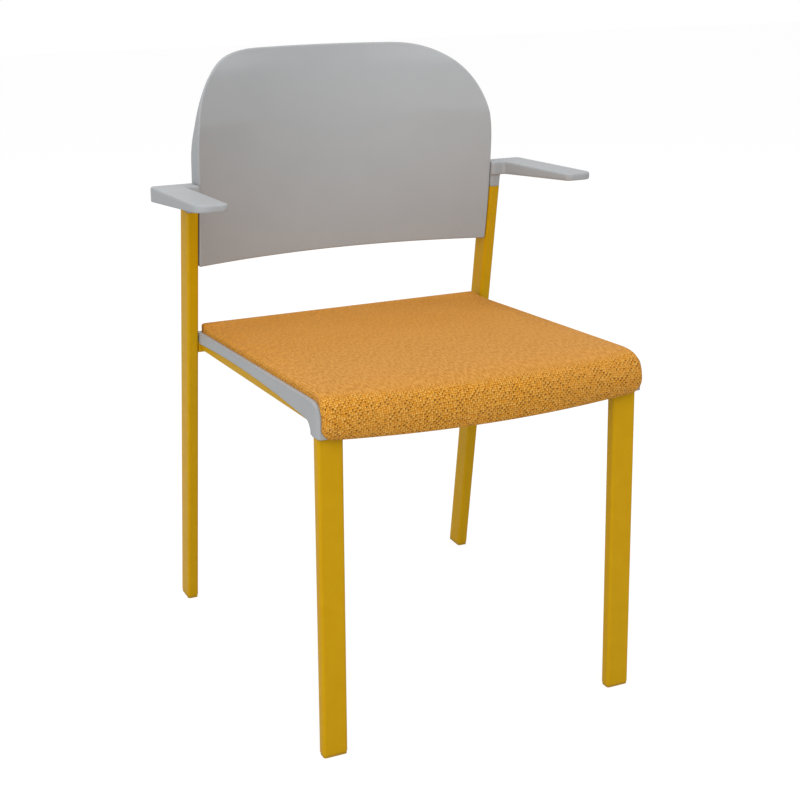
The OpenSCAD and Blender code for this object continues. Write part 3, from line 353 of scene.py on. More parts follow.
def seat_fabric():
    """Knobbly knit: knobs with painted highlights and painted shade, and slanting holes in painted
    shade where it is stretched, else fine ribs with painted shade.
    """
    s = Shader(
        "seat_fabric", base_color=KNIT_MEAN, roughness=0.86, specular_ior_level=0.18,
        sheen_weight=0.03, sheen_roughness=0.5, sheen_tint=SHEEN_TINT,
    )
    cloth = s.attribute("cloth")
    opened = s.attribute("opened", "Fac")
    slack_and_rear_shade = s.attribute("slack_and_rear_shade", "Fac")

    # The stitches wander a little
    sway = s.add("ShaderNodeTexNoise", noise_dimensions="2D")
    sway.inputs["Scale"].default_value = SWAY_SCALE
    sway.inputs["Detail"].default_value = 2
    s.put(cloth, sway.inputs["Vector"])
    away = s.add("ShaderNodeVectorMath", operation="MULTIPLY_ADD")
    s.put(sway.outputs["Color"], away.inputs[0])
    away.inputs[1].default_value = (STITCH_SWAY, STITCH_SWAY, 0.0)
    s.put(cloth, away.inputs[2])
    place = s.add("ShaderNodeSeparateXYZ")
    s.put(away.outputs[0], place.inputs[0])
    across, along = place.outputs["X"], place.outputs["Y"]

    # Holes stand on a lattice, each row half a cell aside from the last
    course = s.maths("MULTIPLY", along, 1 / STITCH)
    row = s.maths("FLOOR", course)
    aside = s.maths("MULTIPLY", s.maths("FLOORED_MODULO", row, 2.0), 0.5)
    wale = s.maths("ADD", s.maths("MULTIPLY", across, 0.5 / STITCH), aside)
    column = s.maths("FLOOR", wale)
    off_x = s.maths("SUBTRACT", s.maths("SUBTRACT", wale, column), 0.5)
    off_x = s.maths("MULTIPLY", off_x, 2.0)
    off_y = s.maths("SUBTRACT", s.maths("SUBTRACT", course, row), 0.5)
    cell = s.add("ShaderNodeCombineXYZ")
    s.put(column, cell.inputs[0])
    s.put(row, cell.inputs[1])
    chance = s.add("ShaderNodeTexWhiteNoise", noise_dimensions="2D")
    s.put(cell.outputs[0], chance.inputs["Vector"])
    run = s.total(off_x, math.cos(HOLE_LEAN), off_y, math.sin(HOLE_LEAN))
    rise = s.total(off_y, math.cos(HOLE_LEAN), off_x, -math.sin(HOLE_LEAN))
    far = s.maths("SQRT", s.maths(
        "ADD",
        s.maths("POWER", s.maths("MULTIPLY", run, 1 / HOLE_LONG), 2.0),
        s.maths("POWER", s.maths("MULTIPLY", rise, 1 / HOLE_HIGH), 2.0),
    ))
    stretch = s.maths("MAXIMUM", opened, s.maths("MULTIPLY", slack_and_rear_shade, FLAT_HOLES))
    depth = s.spread(chance.outputs["Value"], HOLE_CHANCE, 1.0, *HOLE_DEPTHS)
    hole = s.maths("MULTIPLY", s.spread(far, *HOLE_FADE), s.maths("MULTIPLY", depth, stretch))

    # Knobs, and the ribs and gaps of the flat cloth
    knobs = s.add("ShaderNodeTexVoronoi", voronoi_dimensions="2D", feature="F1")
    knobs.inputs["Scale"].default_value = 1 / STITCH
    knobs.inputs["Randomness"].default_value = KNOB_STRAY
    s.put(away.outputs[0], knobs.inputs["Vector"])
    knob = s.spread(knobs.outputs["Distance"], *KNOB_FADE)
    tint = s.add("ShaderNodeSeparateColor")
    s.put(knobs.outputs["Color"], tint.inputs[0])
    wave_x = s.maths("SINE", s.maths("MULTIPLY", across, math.tau / STITCH))
    wave_y = s.maths("SINE", s.maths("MULTIPLY", along, math.tau / STITCH))
    wave = s.maths("ADD", s.total(wave_x, RIB_ACROSS, wave_y, RIB_ALONG), 0.5)
    streaks = s.noise(s.scaled(cloth, STREAK_CELLS), STREAK_SCALE, detail=2.0, roughness=0.6)
    rib = s.total(wave, 0.5, s.spread(streaks, *STREAK_BAND), 0.5)
    patch = s.noise(cloth, PATCH_SCALE)
    fibre = s.noise(cloth, FIBRE_SCALE, roughness=0.6)
    gaps = s.noise(s.scaled(cloth, GAP_CELLS), GAP_SCALE, detail=1.0)
    # More gaps with painted shade where the knit is slack, towards the rear and over the sides'
    # edges
    gap = s.maths("MULTIPLY", s.spread(gaps, *GAP_BAND), s.maths("MULTIPLY", slack_and_rear_shade, FLAT_GAPS))

    # Flat cloth shows its ribs and gaps, and stretched cloth its knobs and holes; their hollows
    # carry painted shade, the knobs painted highlights
    # The top turns to painted shade towards the rear, where it meets the backrest
    forward = s.spread(along, REAR_SHADE_FULL_AT, REAR_SHADE_GONE_AT)
    # Ribs and streaks darken the flat cloth towards painted shade
    flat = s.mix(rib, RIB_PAINTED_SHADE, s.mix(forward, REAR_PAINTED_SHADE, FLAT_TONE))
    # Each knob's middle mixes its own tone with a painted highlight, by a random share
    knotted = s.mix(tint.outputs["Green"], KNOB_TONE, KNOB_PAINTED_HIGHLIGHT)
    # Painted shade round each knob, in the hollows between the knobs
    loose = s.mix(knob, KNIT_PAINTED_SHADE_AND_DARK_FIBRE, knotted)
    tone = s.mix(s.spread(opened, *TONE_TURN), flat, loose)
    tone = s.mix(s.spread(patch, *BAND, 0.0, WORN_SHARE), tone, WORN_TONE)
    tone = s.mix(s.spread(fibre, *FIBRE_BAND, 0.0, FIBRE_SHARE), tone, KNIT_PAINTED_SHADE_AND_DARK_FIBRE)
    # Painted shade in the knit's gaps
    tone = s.mix(gap, tone, KNIT_PAINTED_SHADE_AND_DARK_FIBRE)
    # The holes are filled with painted shade
    s.put(s.mix(hole, tone, HOLE_PAINTED_SHADE), s.bsdf.inputs["Base Color"])
    s.put(s.spread(fibre, *FIBRE_WIDE_BAND, *KNIT_ROUGHNESS), s.bsdf.inputs["Roughness"])
    raised = s.maths("MULTIPLY", knob, s.spread(opened, *RELIEF_TURN, FLAT_KNOBS, 1.0))
    relief = s.maths("SUBTRACT", raised, s.maths("MULTIPLY", hole, HOLE_RELIEF))
    fuzz = s.maths("ADD", relief, s.maths("MULTIPLY", fibre, FIBRE_RELIEF))
    s.put(s.bump(fuzz, KNIT_DEPTH, strength=0.7), s.bsdf.inputs["Normal"])
    return s.material


def plywood():
    """Birch board: rings along the sheet and the layers' edges in stripes."""
    s = Shader("plywood", roughness=0.6)
    place = s.coords()
    grain = s.noise(
        s.scaled(place, (1.0, 0.06, 1.0)), WOOD_GRAIN_SCALE, detail=5.0, roughness=0.6,
    )
    layers = s.add("ShaderNodeTexWave", wave_type="BANDS", bands_direction="Z")
    layers.inputs["Scale"].default_value = PLY_SCALE
    layers.inputs["Distortion"].default_value = 0.6
    s.put(place, layers.inputs["Vector"])
    wood = s.mix(grain, WOOD_DARK, WOOD_LIGHT)
    stripe = s.spread(layers.outputs["Fac"], 0.0, 1.0, 0.0, 0.35)
    s.put(s.mix(stripe, wood, WOOD_LAYER), s.bsdf.inputs["Base Color"])
    s.put(s.bump(grain, WOOD_DEPTH, strength=0.4), s.bsdf.inputs["Normal"])
    return s.material


def metal(name, colour, roughness):
    """Plated or turned metal with fine marks."""
    s = Shader(name, base_color=colour, metallic=1.0, roughness=roughness)
    marks = s.noise(s.scaled(s.coords(), (1.0, 1.0, 5.0)), MARK_SCALE)
    gloss = s.spread(marks, *BAND, roughness - METAL_SMOOTHER, roughness + METAL_ROUGHER)
    s.put(gloss, s.bsdf.inputs["Roughness"])
    s.put(s.bump(marks, MARK_DEPTH, strength=0.4), s.bsdf.inputs["Normal"])
    return s.material


def new_piece(name, verts, faces, material, sharp_angle=None):
    """A smooth mesh object that rides on the chair's one body."""
    mesh = bpy.data.meshes.new(name)
    mesh.from_pydata([tuple(float(c) for c in v) for v in verts], [], faces)
    mesh.update()
    mesh.shade_smooth()
    if sharp_angle is not None:
        mesh.set_sharp_from_angle(angle=math.radians(sharp_angle))
    mesh.materials.append(material)
    piece = bpy.data.objects.new(name, mesh)
    bpy.context.scene.collection.objects.link(piece)
    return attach(piece, "root")


def strips(rings, count):
    """Quads between closed rings of equal length, whose points follow each other in the list."""
    faces = []
    for a in range(0, (rings - 1) * count, count):
        for i in range(count):
            j = (i + 1) % count
            faces.append((a + i, a + j, a + count + j, a + count + i))
    return faces


def smooth(s):
    """Smooth step from 0 to 1."""
    c = np.clip(s, 0.0, 1.0)
    return c * c * (3 - 2 * c)


# Backrest, with the lengths of its CAD solid
BACK_WALL = 4.5 * MM
BACK_SIDE_D = 35.5 * MM
BACK_HOLLOW_LOW = 35 * MM
BACK_HOLLOW_HIGH = 84 * MM
BACK_SHOULDER_H = 148 * MM
BACK_FLAT_HALF = 100 * MM
BACK_SWEEP = 59.7 * MM
BACK_HALF = 230.5 * MM
BACK_LIP = 0.6 * MM
REAR_FOOT_BEHIND = 273.8 * MM
REAR_LEAN = math.radians(8.07)
BACK_EDGE_STEP = 0.3 * MM
SHOULDER_POWER = 2.6
# Shares of the height at which the hollow is full and eases again, and of how much it eases
HOLLOW_FULL_AT = 0.67
HOLLOW_EASE_FROM = 0.9
HOLLOW_EASE = 0.33
# Straight and growing shares of the backward sweep
SWEEP_STRAIGHT = 0.36
SWEEP_GROWING = 0.64
# Shares of the shoulders' height between which the side walls run out
WALL_FROM = 0.02
WALL_RUN = 0.72
# Rounds of the skin, and how far its rings lie in from the outline and the wall
BACK_EDGE_R = 2.0 * MM
BACK_REAR_R = 1.3 * MM
BACK_CORNER_R = 2.5 * MM
BACK_FACE_IN = 0.8 * MM
BACK_REAR_IN = 0.5 * MM
BACK_FILL_IN = 1.5 * MM
BACK_ROOT_LIFT = 0.2 * MM
# Fineness of the skin
BACK_RING_STEP = 6 * MM
BACK_CORNER_STEPS = 12
BACK_SHOULDER_POINTS = 400
BACK_FACE_RINGS = 24
BACK_EDGE_STEPS = 4
BACK_SHARP_ANGLE = 50
# Shares of the side wall's depth at which rings run round its outside and its inside
OUTER_SHARES = (0.25, 0.5, 0.75, 1.0)
INNER_SHARES = (0.6, 0.25)


def rear_y(z):
    """Where the rear tubes' middle line is at height z."""
    return REAR_FOOT_BEHIND - math.tan(REAR_LEAN) * z


class Back:
    """The backrest's formulas: its front face, outline and the depth of its side walls."""

    low_z, high_z = (corner.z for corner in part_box("backrest_shell"))
    height = high_z - low_z
    shoulder_z = high_z - BACK_SHOULDER_H
    tube_front_y = rear_y(low_z) - TUBE_WIDE / 2 / math.cos(REAR_LEAN)
    middle_low_y = tube_front_y + BACK_EDGE_STEP + BACK_HOLLOW_LOW

    @classmethod
    def face_y(cls, x, z):
        """Where the front face is at x and z."""
        s = (z - cls.low_z) / cls.height
        gain = BACK_HOLLOW_HIGH - BACK_HOLLOW_LOW
        eased = HOLLOW_EASE * smooth((s - HOLLOW_EASE_FROM) / (1 - HOLLOW_EASE_FROM))
        hollow = BACK_HOLLOW_LOW + gain * (np.minimum(1, s / HOLLOW_FULL_AT) - eased)
        middle = cls.middle_low_y + BACK_SWEEP * (SWEEP_STRAIGHT * s + SWEEP_GROWING * s * s)
        return middle - hollow * (np.abs(x) / BACK_HALF) ** 2

    @classmethod
    def side_depth(cls, z):
        """How far the side walls reach behind the face at height z."""
        s = (z - cls.shoulder_z) / BACK_SHOULDER_H
        least = BACK_WALL + BACK_LIP
        return least + (BACK_SIDE_D - least) * (1 - smooth((s - WALL_FROM) / WALL_RUN))

    @classmethod
    def outline(cls, spacing, corner_r):
        """Even points round the outline, counter-clockwise from the middle of the lower edge."""
        turn = np.radians(np.linspace(-90, 0, BACK_CORNER_STEPS + 1)[1:])
        corner = np.stack([
            BACK_HALF - corner_r + corner_r * np.cos(turn),
            cls.low_z + corner_r + corner_r * np.sin(turn),
        ], 1)
        t = np.radians(np.linspace(0, 90, BACK_SHOULDER_POINTS))
        power = 2 / SHOULDER_POWER
        shoulder = np.stack([
            BACK_FLAT_HALF + (BACK_HALF - BACK_FLAT_HALF) * np.cos(t).clip(0) ** power,
            cls.shoulder_z + BACK_SHOULDER_H * np.sin(t) ** power,
        ], 1)
        half = np.concatenate([[[0, cls.low_z]], corner, shoulder, [[0, cls.high_z]]])
        run = np.concatenate([[0], np.cumsum(np.hypot(*np.diff(half, axis=0).T))])
        count = int(round(run[-1] / spacing))
        marks = np.unique(np.concatenate([
            np.linspace(0, run[-1], count + 1), run[1:1 + len(corner)],
        ]))
        right = np.stack([np.interp(marks, run, half[:, k]) for k in (0, 1)], 1)
        left = right[-2:0:-1] * [-1, 1]
        return np.concatenate([right, left])


def backrest(material):
    """One closed skin: front face, rounded edge, side wall, return and rear face."""
    edge_r, rear_r, corner_r = BACK_EDGE_R, BACK_REAR_R, BACK_CORNER_R
    outline = Back.outline(BACK_RING_STEP, corner_r)
    n = len(outline)
    middle_z = (Back.low_z + Back.high_z) / 2
    centre = np.array([0.0, middle_z])
    extent = np.array([BACK_HALF, Back.height / 2])
    edge_y = Back.face_y(outline[:, 0], outline[:, 1])
    # The side walls end at the lower edge, where only the face's own thickness is left
    at_side = np.abs(outline[:, 0]) > BACK_HALF - 3 * corner_r
    rising = at_side * smooth((outline[:, 1] - Back.low_z) / corner_r)
    full = Back.side_depth(outline[:, 1])
    depth = np.where(
        outline[:, 1] > Back.shoulder_z, full, BACK_WALL + (full - BACK_WALL) * rising,
    )

    def inset(d):
        """The outline drawn in by d at the sides, the top and the lower edge."""
        return centre + (outline - centre) * (1 - d / extent)

    def ring(d, y):
        """The outline drawn in by d, at the depths y."""
        p = inset(d)
        return np.stack([p[:, 0], y, p[:, 1]], 1)

    def on_face(d, back=0.0):
        """The outline drawn in by d, on the front face or behind it."""
        p = inset(d)
        return ring(d, Back.face_y(p[:, 0], p[:, 1]) + back)

    fill_from = BACK_WALL + BACK_FILL_IN
    shares = np.linspace(0, 1, BACK_FACE_RINGS + 2)[1:-1]

    def scaled(share, back=0.0):
        """A smaller copy of the outline that fills the face or the rear."""
        p = centre + (inset(fill_from) - centre) * share
        return np.stack([p[:, 0], Back.face_y(p[:, 0], p[:, 1]) + back, p[:, 1]], 1)

    front = [scaled(s) for s in shares] + [on_face(fill_from), on_face(edge_r + BACK_FACE_IN)]
    turns = np.radians(np.linspace(0, 90, BACK_EDGE_STEPS + 1))
    rounding = [on_face(edge_r * (1 - math.sin(t)), edge_r * (1 - math.cos(t))) for t in turns]
    end_y = edge_y + depth
    wall_ring = [
        ring(0, edge_y + edge_r + (depth - edge_r - rear_r) * s) for s in OUTER_SHARES
    ]
    rear_edge = [
        ring(rear_r * (1 - math.cos(t)), end_y - rear_r * (1 - math.sin(t)))
        for t in turns[1:]
    ]
    inner_y = Back.face_y(*inset(BACK_WALL).T) + BACK_WALL
    inner_edge = [
        ring(BACK_WALL - rear_r + rear_r * math.sin(t),
             np.maximum(end_y - rear_r * (1 - math.cos(t)), edge_y + BACK_WALL))
        for t in turns
    ]
    root = np.maximum(end_y - rear_r, inner_y + BACK_ROOT_LIFT)
    inner_wall = [ring(BACK_WALL, inner_y + (root - inner_y) * s) for s in INNER_SHARES]
    rear = [on_face(BACK_WALL + BACK_REAR_IN, BACK_WALL), on_face(fill_from, BACK_WALL)]
    rear += [scaled(s, BACK_WALL) for s in shares[::-1]]
    rings = front + rounding + wall_ring + rear_edge + inner_edge + inner_wall + rear
    verts = [p for r in rings for p in r]
    centre_y = float(Back.face_y(0.0, middle_z))
    verts += [(0, centre_y, middle_z), (0, centre_y + BACK_WALL, middle_z)]
    faces = strips(len(rings), n)
    last = (len(rings) - 1) * n
    faces += [((i + 1) % n, i, len(rings) * n) for i in range(n)]
    faces += [(last + i, last + (i + 1) % n, len(rings) * n + 1) for i in range(n)]
    piece = new_piece("backrest", verts, faces, material, BACK_SHARP_ANGLE)
    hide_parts("backrest_shell")


# Pad, with the lengths of the pan, the rails and its CAD solid
PAN_HALF = 231 * MM
PAN_FRONT = 263.5 * MM
PAN_REAR = 210 * MM
RIM_T = 6.5 * MM
REAR_RIM_T = 3.8 * MM
GAP = 0.3 * MM
APRON_GAP = 0.5 * MM
PLATE_T = 3 * MM
PAN_BEND_R = 22 * MM
PAN_CORNER_R = 25 * MM
PAN_CORNER_PAST = 13.4 * MM
BOARD_T = 7 * MM
FOOT_DROP = 30.1 * MM
RIM_OVER_RAIL = 9.6 * MM
RAIL_REAR_Z = 432.3 * MM
CROSS_DROP = 2.8 * MM
RAIL_SLOPE = math.radians(3.16)
PAD_SIDE_T = 6 * MM
PAD_EDGE_RISE = 7.9 * MM
COVER_PROUD = 1.2 * MM
PAD_REAR_LIFT = 4 * MM
PAD_REAR_RUN = 60 * MM
PAD_SLOPE = math.radians(3.97)
PAD_CROWN = 4 * MM
PAD_FRONT_REACH = 27.5 * MM
PAD_CORNER_REACH = 14.5 * MM
PAD_FRONT_INSET = 4 * MM
PAD_CORNER_R = 13 * MM
PAD_ROLL_A = 38 * MM
PAD_HANG = 4.1 * MM
PAD_LOW_BOW = 2.8 * MM
PAD_BULGE_H = 22 * MM
PAD_TUCK = 6 * MM
PAD_CORNER_TUCK = 14 * MM
PAD_EDGE_R = 7 * MM
PAD_REAR_EDGE_R = 3.6 * MM
PAD_REAR_R = 4 * MM
PAD_LOW_R = 16 * MM
SIDE_WALL_H = 4 * MM
SIDE_LEAN = 0.8 * MM
ROLL_END_T = 0.8 * MM
ROLL_EDGE_T = 0.4 * MM
ROLL_EDGE_H = 4 * MM
ROLL_LOW_STEP = 1.5 * MM
CROWN_POWER_X = 2.4
CROWN_POWER_Y = 4

# Points along the pad's half plan
FRONT_STEPS = 36
FRONT_CORNER_STEPS = 10
SIDE_STEPS = 72
REAR_CORNER_STEPS = 6
REAR_STEPS = 36
# More of the side's points lie near the front
SIDE_CROWDING = 1.2

# Levels of the pad, from under the board to the top edge
FOOT_LEVEL = 2
STEP_LEVEL = 3
LIP_LEVEL = 4
EDGE_LEVEL = 10
RIM_LEVEL = 14
TOP_LEVEL = 22
# Points from the middle of the front or the rear to the corner of the pad's grids
PAD_GRID_CORNER = 41

# Simulation of the cover
VOXEL = 6 * MM
PRESSURE = 4.0
LAST_FRAME = 20
CLOTH_QUALITY = 4
LEAST_HOLD = 0.01
SWELL_CAP = 2.5 * MM
# The roll is let go ahead of the pan and above its lower edge, each over a run
ROLL_FREE_AHEAD = 2 * MM
ROLL_AHEAD_RUN = 4 * MM
ROLL_FREE_ABOVE = 3 * MM
ROLL_ABOVE_RUN = 10 * MM

# Where the knit opens: from the crest of the roll, and over the sides' edges
OPEN_FROM = -242 * MM
OPEN_BOW = 22 * MM
OPEN_RUN = 30 * MM
OPEN_LEAST = 0.04
OPEN_AT_SIDE = 0.6
OVER_SIDE_IN = 2 * MM
OVER_SIDE_RUN = 4 * MM
SIDE_FROM = -240 * MM
# Slack of the knit, which grows towards the rear and brings more painted shade in gaps and holes
# there
SLACK_SHADE_LEAST = 0.2
SLACK_SHADE_FROM = -60 * MM
SLACK_SHADE_RUN = 240 * MM
# Levels over which the cloth comes to its own width round the roll's corners
SPARE_LEVELS = 8

RAIL_REAR_Y = rear_y(RAIL_REAR_Z - CROSS_DROP) - TUBE_WIDE / 2
PAD_HALF = PAN_HALF - RIM_T - GAP
PAD_REAR = PAN_REAR - REAR_RIM_T - GAP
PAD_STEP_Y = -PAN_FRONT - APRON_GAP
PAD_SIDE_Y = PAD_STEP_Y + 2 * APRON_GAP
PAD_WIDE_HALF = PAN_HALF - PAD_FRONT_INSET
PAD_CORNER_X = PAD_WIDE_HALF - PAD_CORNER_R
PAD_SIDE_REAR_Y = PAD_REAR - PAD_REAR_R
PAD_MIDDLE_Y = (PAD_REAR - PAN_FRONT) / 2
BOARD_FRONT = PAN_FRONT - PAN_BEND_R - PAD_SIDE_T


def rail_top_z(y):
    """Height of the side rails' upper faces."""
    middle = RAIL_REAR_Z + math.tan(RAIL_SLOPE) * (RAIL_REAR_Y - y)
    return middle + TUBE_THIN / 2 / math.cos(RAIL_SLOPE)


def plate_top_z(y):
    """Height of the pan's plate, on which the pad lies."""
    return rail_top_z(y) + GAP + PLATE_T / math.cos(RAIL_SLOPE)


def pad_edge_z(y):
    """Height of the pad's upper edge, which lifts a little at the rear."""
    rim = rail_top_z(PAN_REAR) + RIM_OVER_RAIL + GAP
    lift = PAD_REAR_LIFT * np.maximum(0, 1 - (PAD_REAR - y) / PAD_REAR_RUN) ** 2
    return rim + PAD_EDGE_RISE + COVER_PROUD + math.tan(PAD_SLOPE) * (PAN_REAR - y) + lift


PAD_BOTTOM_Z = rail_top_z(-PAN_FRONT) - FOOT_DROP - PAD_HANG
PAD_BULGE_Z = PAD_BOTTOM_Z + PAD_BULGE_H
BEND_Y = -PAN_FRONT + PAN_BEND_R
BEND_Z = plate_top_z(BEND_Y) - PAN_BEND_R
BEND_CUT = (PAN_BEND_R + APRON_GAP) * math.tan(math.radians(22.5))


def front_bow(x):
    """How far the pad's front edge draws back at x."""
    return (PAD_FRONT_REACH - PAD_CORNER_REACH) * (x / PAD_CORNER_X) ** 2


def pad_plan():
    """Half of the pad's plan from the front's middle to the rear's, as [x, y, part]."""
    points = []
    for k in range(FRONT_STEPS + 1):
        x = PAD_CORNER_X * k / FRONT_STEPS
        points.append((x, -PAN_FRONT - PAD_FRONT_REACH + front_bow(x), "front"))
    for t in np.radians(np.linspace(0, 90, FRONT_CORNER_STEPS + 1)[1:]):
        x = PAD_CORNER_X + PAD_CORNER_R * math.sin(t)
        run = (PAD_CORNER_REACH - APRON_GAP - ROLL_END_T) * (1 - math.cos(t))
        points.append((x, -PAN_FRONT - PAD_CORNER_REACH + run, "front"))
    r = PAN_CORNER_R - RIM_T
    for k in range(SIDE_STEPS + 1):
        y = PAD_SIDE_Y + (PAD_SIDE_REAR_Y - PAD_SIDE_Y) * (k / SIDE_STEPS) ** SIDE_CROWDING
        past = max(0.0, PAN_CORNER_R - PAN_FRONT - PAN_CORNER_PAST - y)
        points.append((PAD_HALF - r + math.sqrt(r * r - past * past), y, "side"))
    for t in np.radians(np.linspace(0, 90, REAR_CORNER_STEPS + 1)[1:]):
        x = PAD_HALF - PAD_REAR_R * (1 - math.cos(t))
        points.append((x, PAD_REAR - PAD_REAR_R * (1 - math.sin(t)), "rear"))
    for k in range(1, REAR_STEPS + 1):
        points.append(((PAD_HALF - PAD_REAR_R) * (1 - k / REAR_STEPS), PAD_REAR, "rear"))
    return points


def edge_turn(k):
    """Angle round the front roll at a level, from its widest line up."""
    return math.radians(90 * max(0, k - EDGE_LEVEL) / (TOP_LEVEL - EDGE_LEVEL))


def front_line(k):
    """Front line of the pad's underside: ahead of the board, then at the pan's bend."""
    return -BOARD_FRONT - GAP if k < FOOT_LEVEL else BEND_Y - BEND_CUT


def front_shift(k):
    """How far the front lies behind its plan at a level."""
    if k <= FOOT_LEVEL:
        return front_line(k) - PAD_SIDE_Y
    return PAD_ROLL_A * (1 - math.cos(edge_turn(k)))


def edge_radius(y):
    """Rounding of the pad's upper edge, which grows towards the front."""
    s = (PAD_REAR - y) / (PAD_REAR + PAN_FRONT)
    return PAD_REAR_EDGE_R + (PAD_EDGE_R - PAD_REAR_EDGE_R) * s


def rim_turn(k):
    """Angle round the sides' upper edge at a level, from the pan's rim up."""
    return math.radians(90 * max(0, k - RIM_LEVEL) / (TOP_LEVEL - RIM_LEVEL))


def side_inset(k, y):
    """How far the sides lie inside their plan at a level."""
    if k == 0:
        return PAD_SIDE_T + GAP / 2
    if k <= FOOT_LEVEL:
        return PAD_SIDE_T * (FOOT_LEVEL + 1 - k) / FOOT_LEVEL
    if k <= EDGE_LEVEL:
        return SIDE_LEAN * (EDGE_LEVEL - k) / (EDGE_LEVEL - FOOT_LEVEL)
    return edge_radius(y) * (1 - math.cos(rim_turn(k)))


def drawn_in(p, side_d, front_d, k):
    """Plan point at a level; above the pan's rim the plan's corners fill out."""
    x, y, part = p
    out = float(smooth((k - RIM_LEVEL) / (TOP_LEVEL - RIM_LEVEL)))
    if part == "front":
        x *= 1 + out * (PAD_HALF / PAD_WIDE_HALF - 1)
        return x - side_d * max(0.0, (p[0] - PAD_CORNER_X) / PAD_CORNER_R), y + front_d
    if part == "rear":
        return x - side_d * x / PAD_HALF, y - side_d
    s = (y - PAD_SIDE_Y) / (PAD_SIDE_REAR_Y - PAD_SIDE_Y)
    x += out * max(0.0, PAD_HALF - x) * (1 - s)
    return x - side_d, y + front_d * (1 - s) - side_d * s


def side_level(p, k):
    """A plan point of the sides or the rear, at a level."""
    x, y = drawn_in(p, side_inset(k, p[1]), front_shift(k), k)
    foot = plate_top_z(y) + GAP
    if k == 0:
        return x, y, plate_top_z(y) + (BOARD_T + GAP) / math.cos(RAIL_SLOPE)
    if k <= FOOT_LEVEL:
        return x, y, foot
    if k <= EDGE_LEVEL:
        return x, y, foot + SIDE_WALL_H * (k - FOOT_LEVEL) / (EDGE_LEVEL - FOOT_LEVEL)
    wall = foot + SIDE_WALL_H
    edge, r = float(pad_edge_z(y)), edge_radius(p[1])
    if k <= RIM_LEVEL:
        return x, y, wall + (edge - r - wall) * (k - EDGE_LEVEL) / (RIM_LEVEL - EDGE_LEVEL)
    return x, y, edge - r + r * math.sin(rim_turn(k))


def front_level(p, k):
    """A plan point of the front, at a level."""
    x, y, _ = p
    under_x = x * (PAD_HALF - side_inset(min(k, FOOT_LEVEL), y)) / PAD_WIDE_HALF
    past = max(0.0, x - (PAD_WIDE_HALF - PAD_LOW_R))
    low = (PAD_BOTTOM_Z + PAD_LOW_BOW * (x / PAD_WIDE_HALF) ** 2
           + PAD_LOW_R - math.sqrt(max(0.0, PAD_LOW_R ** 2 - past ** 2)))
    round_z = max(PAD_BULGE_Z, low + ROLL_EDGE_H)
    tuck = PAD_TUCK + (PAD_CORNER_TUCK - PAD_TUCK) * (x / PAD_CORNER_X) ** 2
    if k == 0:
        return under_x, front_line(k), plate_top_z(-BOARD_FRONT) + BOARD_T + GAP
    if k < FOOT_LEVEL:
        return under_x, front_line(k), plate_top_z(-BOARD_FRONT) + GAP
    if k == FOOT_LEVEL:
        return under_x, front_line(k), BEND_Z + PAN_BEND_R + APRON_GAP
    if k == STEP_LEVEL:
        return under_x, PAD_STEP_Y, BEND_Z + BEND_CUT
    if k == LIP_LEVEL:
        return x, PAD_STEP_Y, low + ROLL_LOW_STEP
    if k <= EDGE_LEVEL:
        # Round from the bottom edge up to the widest line
        a = math.radians(90 * (EDGE_LEVEL - k) / (EDGE_LEVEL - LIP_LEVEL - 1))
        low_y = min(PAD_STEP_Y - ROLL_EDGE_T, y + tuck * (1 - math.cos(a)))
        return x, low_y, round_z - (round_z - low) * math.sin(a)
    qx, qy = drawn_in(p, side_inset(k, y), front_shift(k), k)
    return qx, qy, round_z + (float(pad_edge_z(qy)) - round_z) * math.sin(edge_turn(k))


def pad_top_z(x, y):
    """The crown, which starts from nothing at the top ring."""
    sx = np.minimum(1, np.abs(x) / (PAD_HALF - edge_radius(y)))
    lead = -PAN_FRONT - PAD_FRONT_REACH + PAD_ROLL_A + front_bow(x)
    ahead = (PAD_MIDDLE_Y - y) / (PAD_MIDDLE_Y - lead)
    behind = (y - PAD_MIDDLE_Y) / (PAD_REAR - PAD_REAR_EDGE_R - PAD_MIDDLE_Y)
    sy = np.clip(np.maximum(ahead, behind), 0, 1)
    return pad_edge_z(y) + PAD_CROWN * (1 - sx ** CROWN_POWER_X) * (1 - sy ** CROWN_POWER_Y)


def fill_ring(ring, first, start, corner):
    """An even grid between a ring's four sides: its new points and its faces, seen from above."""
    n = len(ring)
    half = n // 2
    near = [(n - corner + i) % n for i in range(2 * corner + 1)]
    far = [half + corner - i for i in range(2 * corner + 1)]
    deep = half - 2 * corner
    left = [n - corner - j for j in range(deep + 1)]
    right = [corner + j for j in range(deep + 1)]
    u = np.linspace(0, 1, 2 * corner + 1)[:, None, None]
    v = np.linspace(0, 1, deep + 1)[None, :, None]
    grid = (
        (1 - v) * ring[near][:, None] + v * ring[far][:, None]
        + (1 - u) * ring[left][None] + u * ring[right][None]
        - (1 - u) * ((1 - v) * ring[near[0]] + v * ring[far[0]])
        - u * ((1 - v) * ring[near[-1]] + v * ring[far[-1]])
    )
    names = np.full(grid.shape[:2], -1)
    names[:, 0], names[:, -1] = np.array(near) + start, np.array(far) + start
    names[0], names[-1] = np.array(left) + start, np.array(right) + start
    inside = names < 0
    names[inside] = first + np.arange(inside.sum())
    faces = [
        (names[i, j], names[i + 1, j], names[i + 1, j + 1], names[i, j + 1])
        for i in range(2 * corner) for j in range(deep)
    ]
    return grid[inside], [tuple(int(k) for k in face) for face in faces]


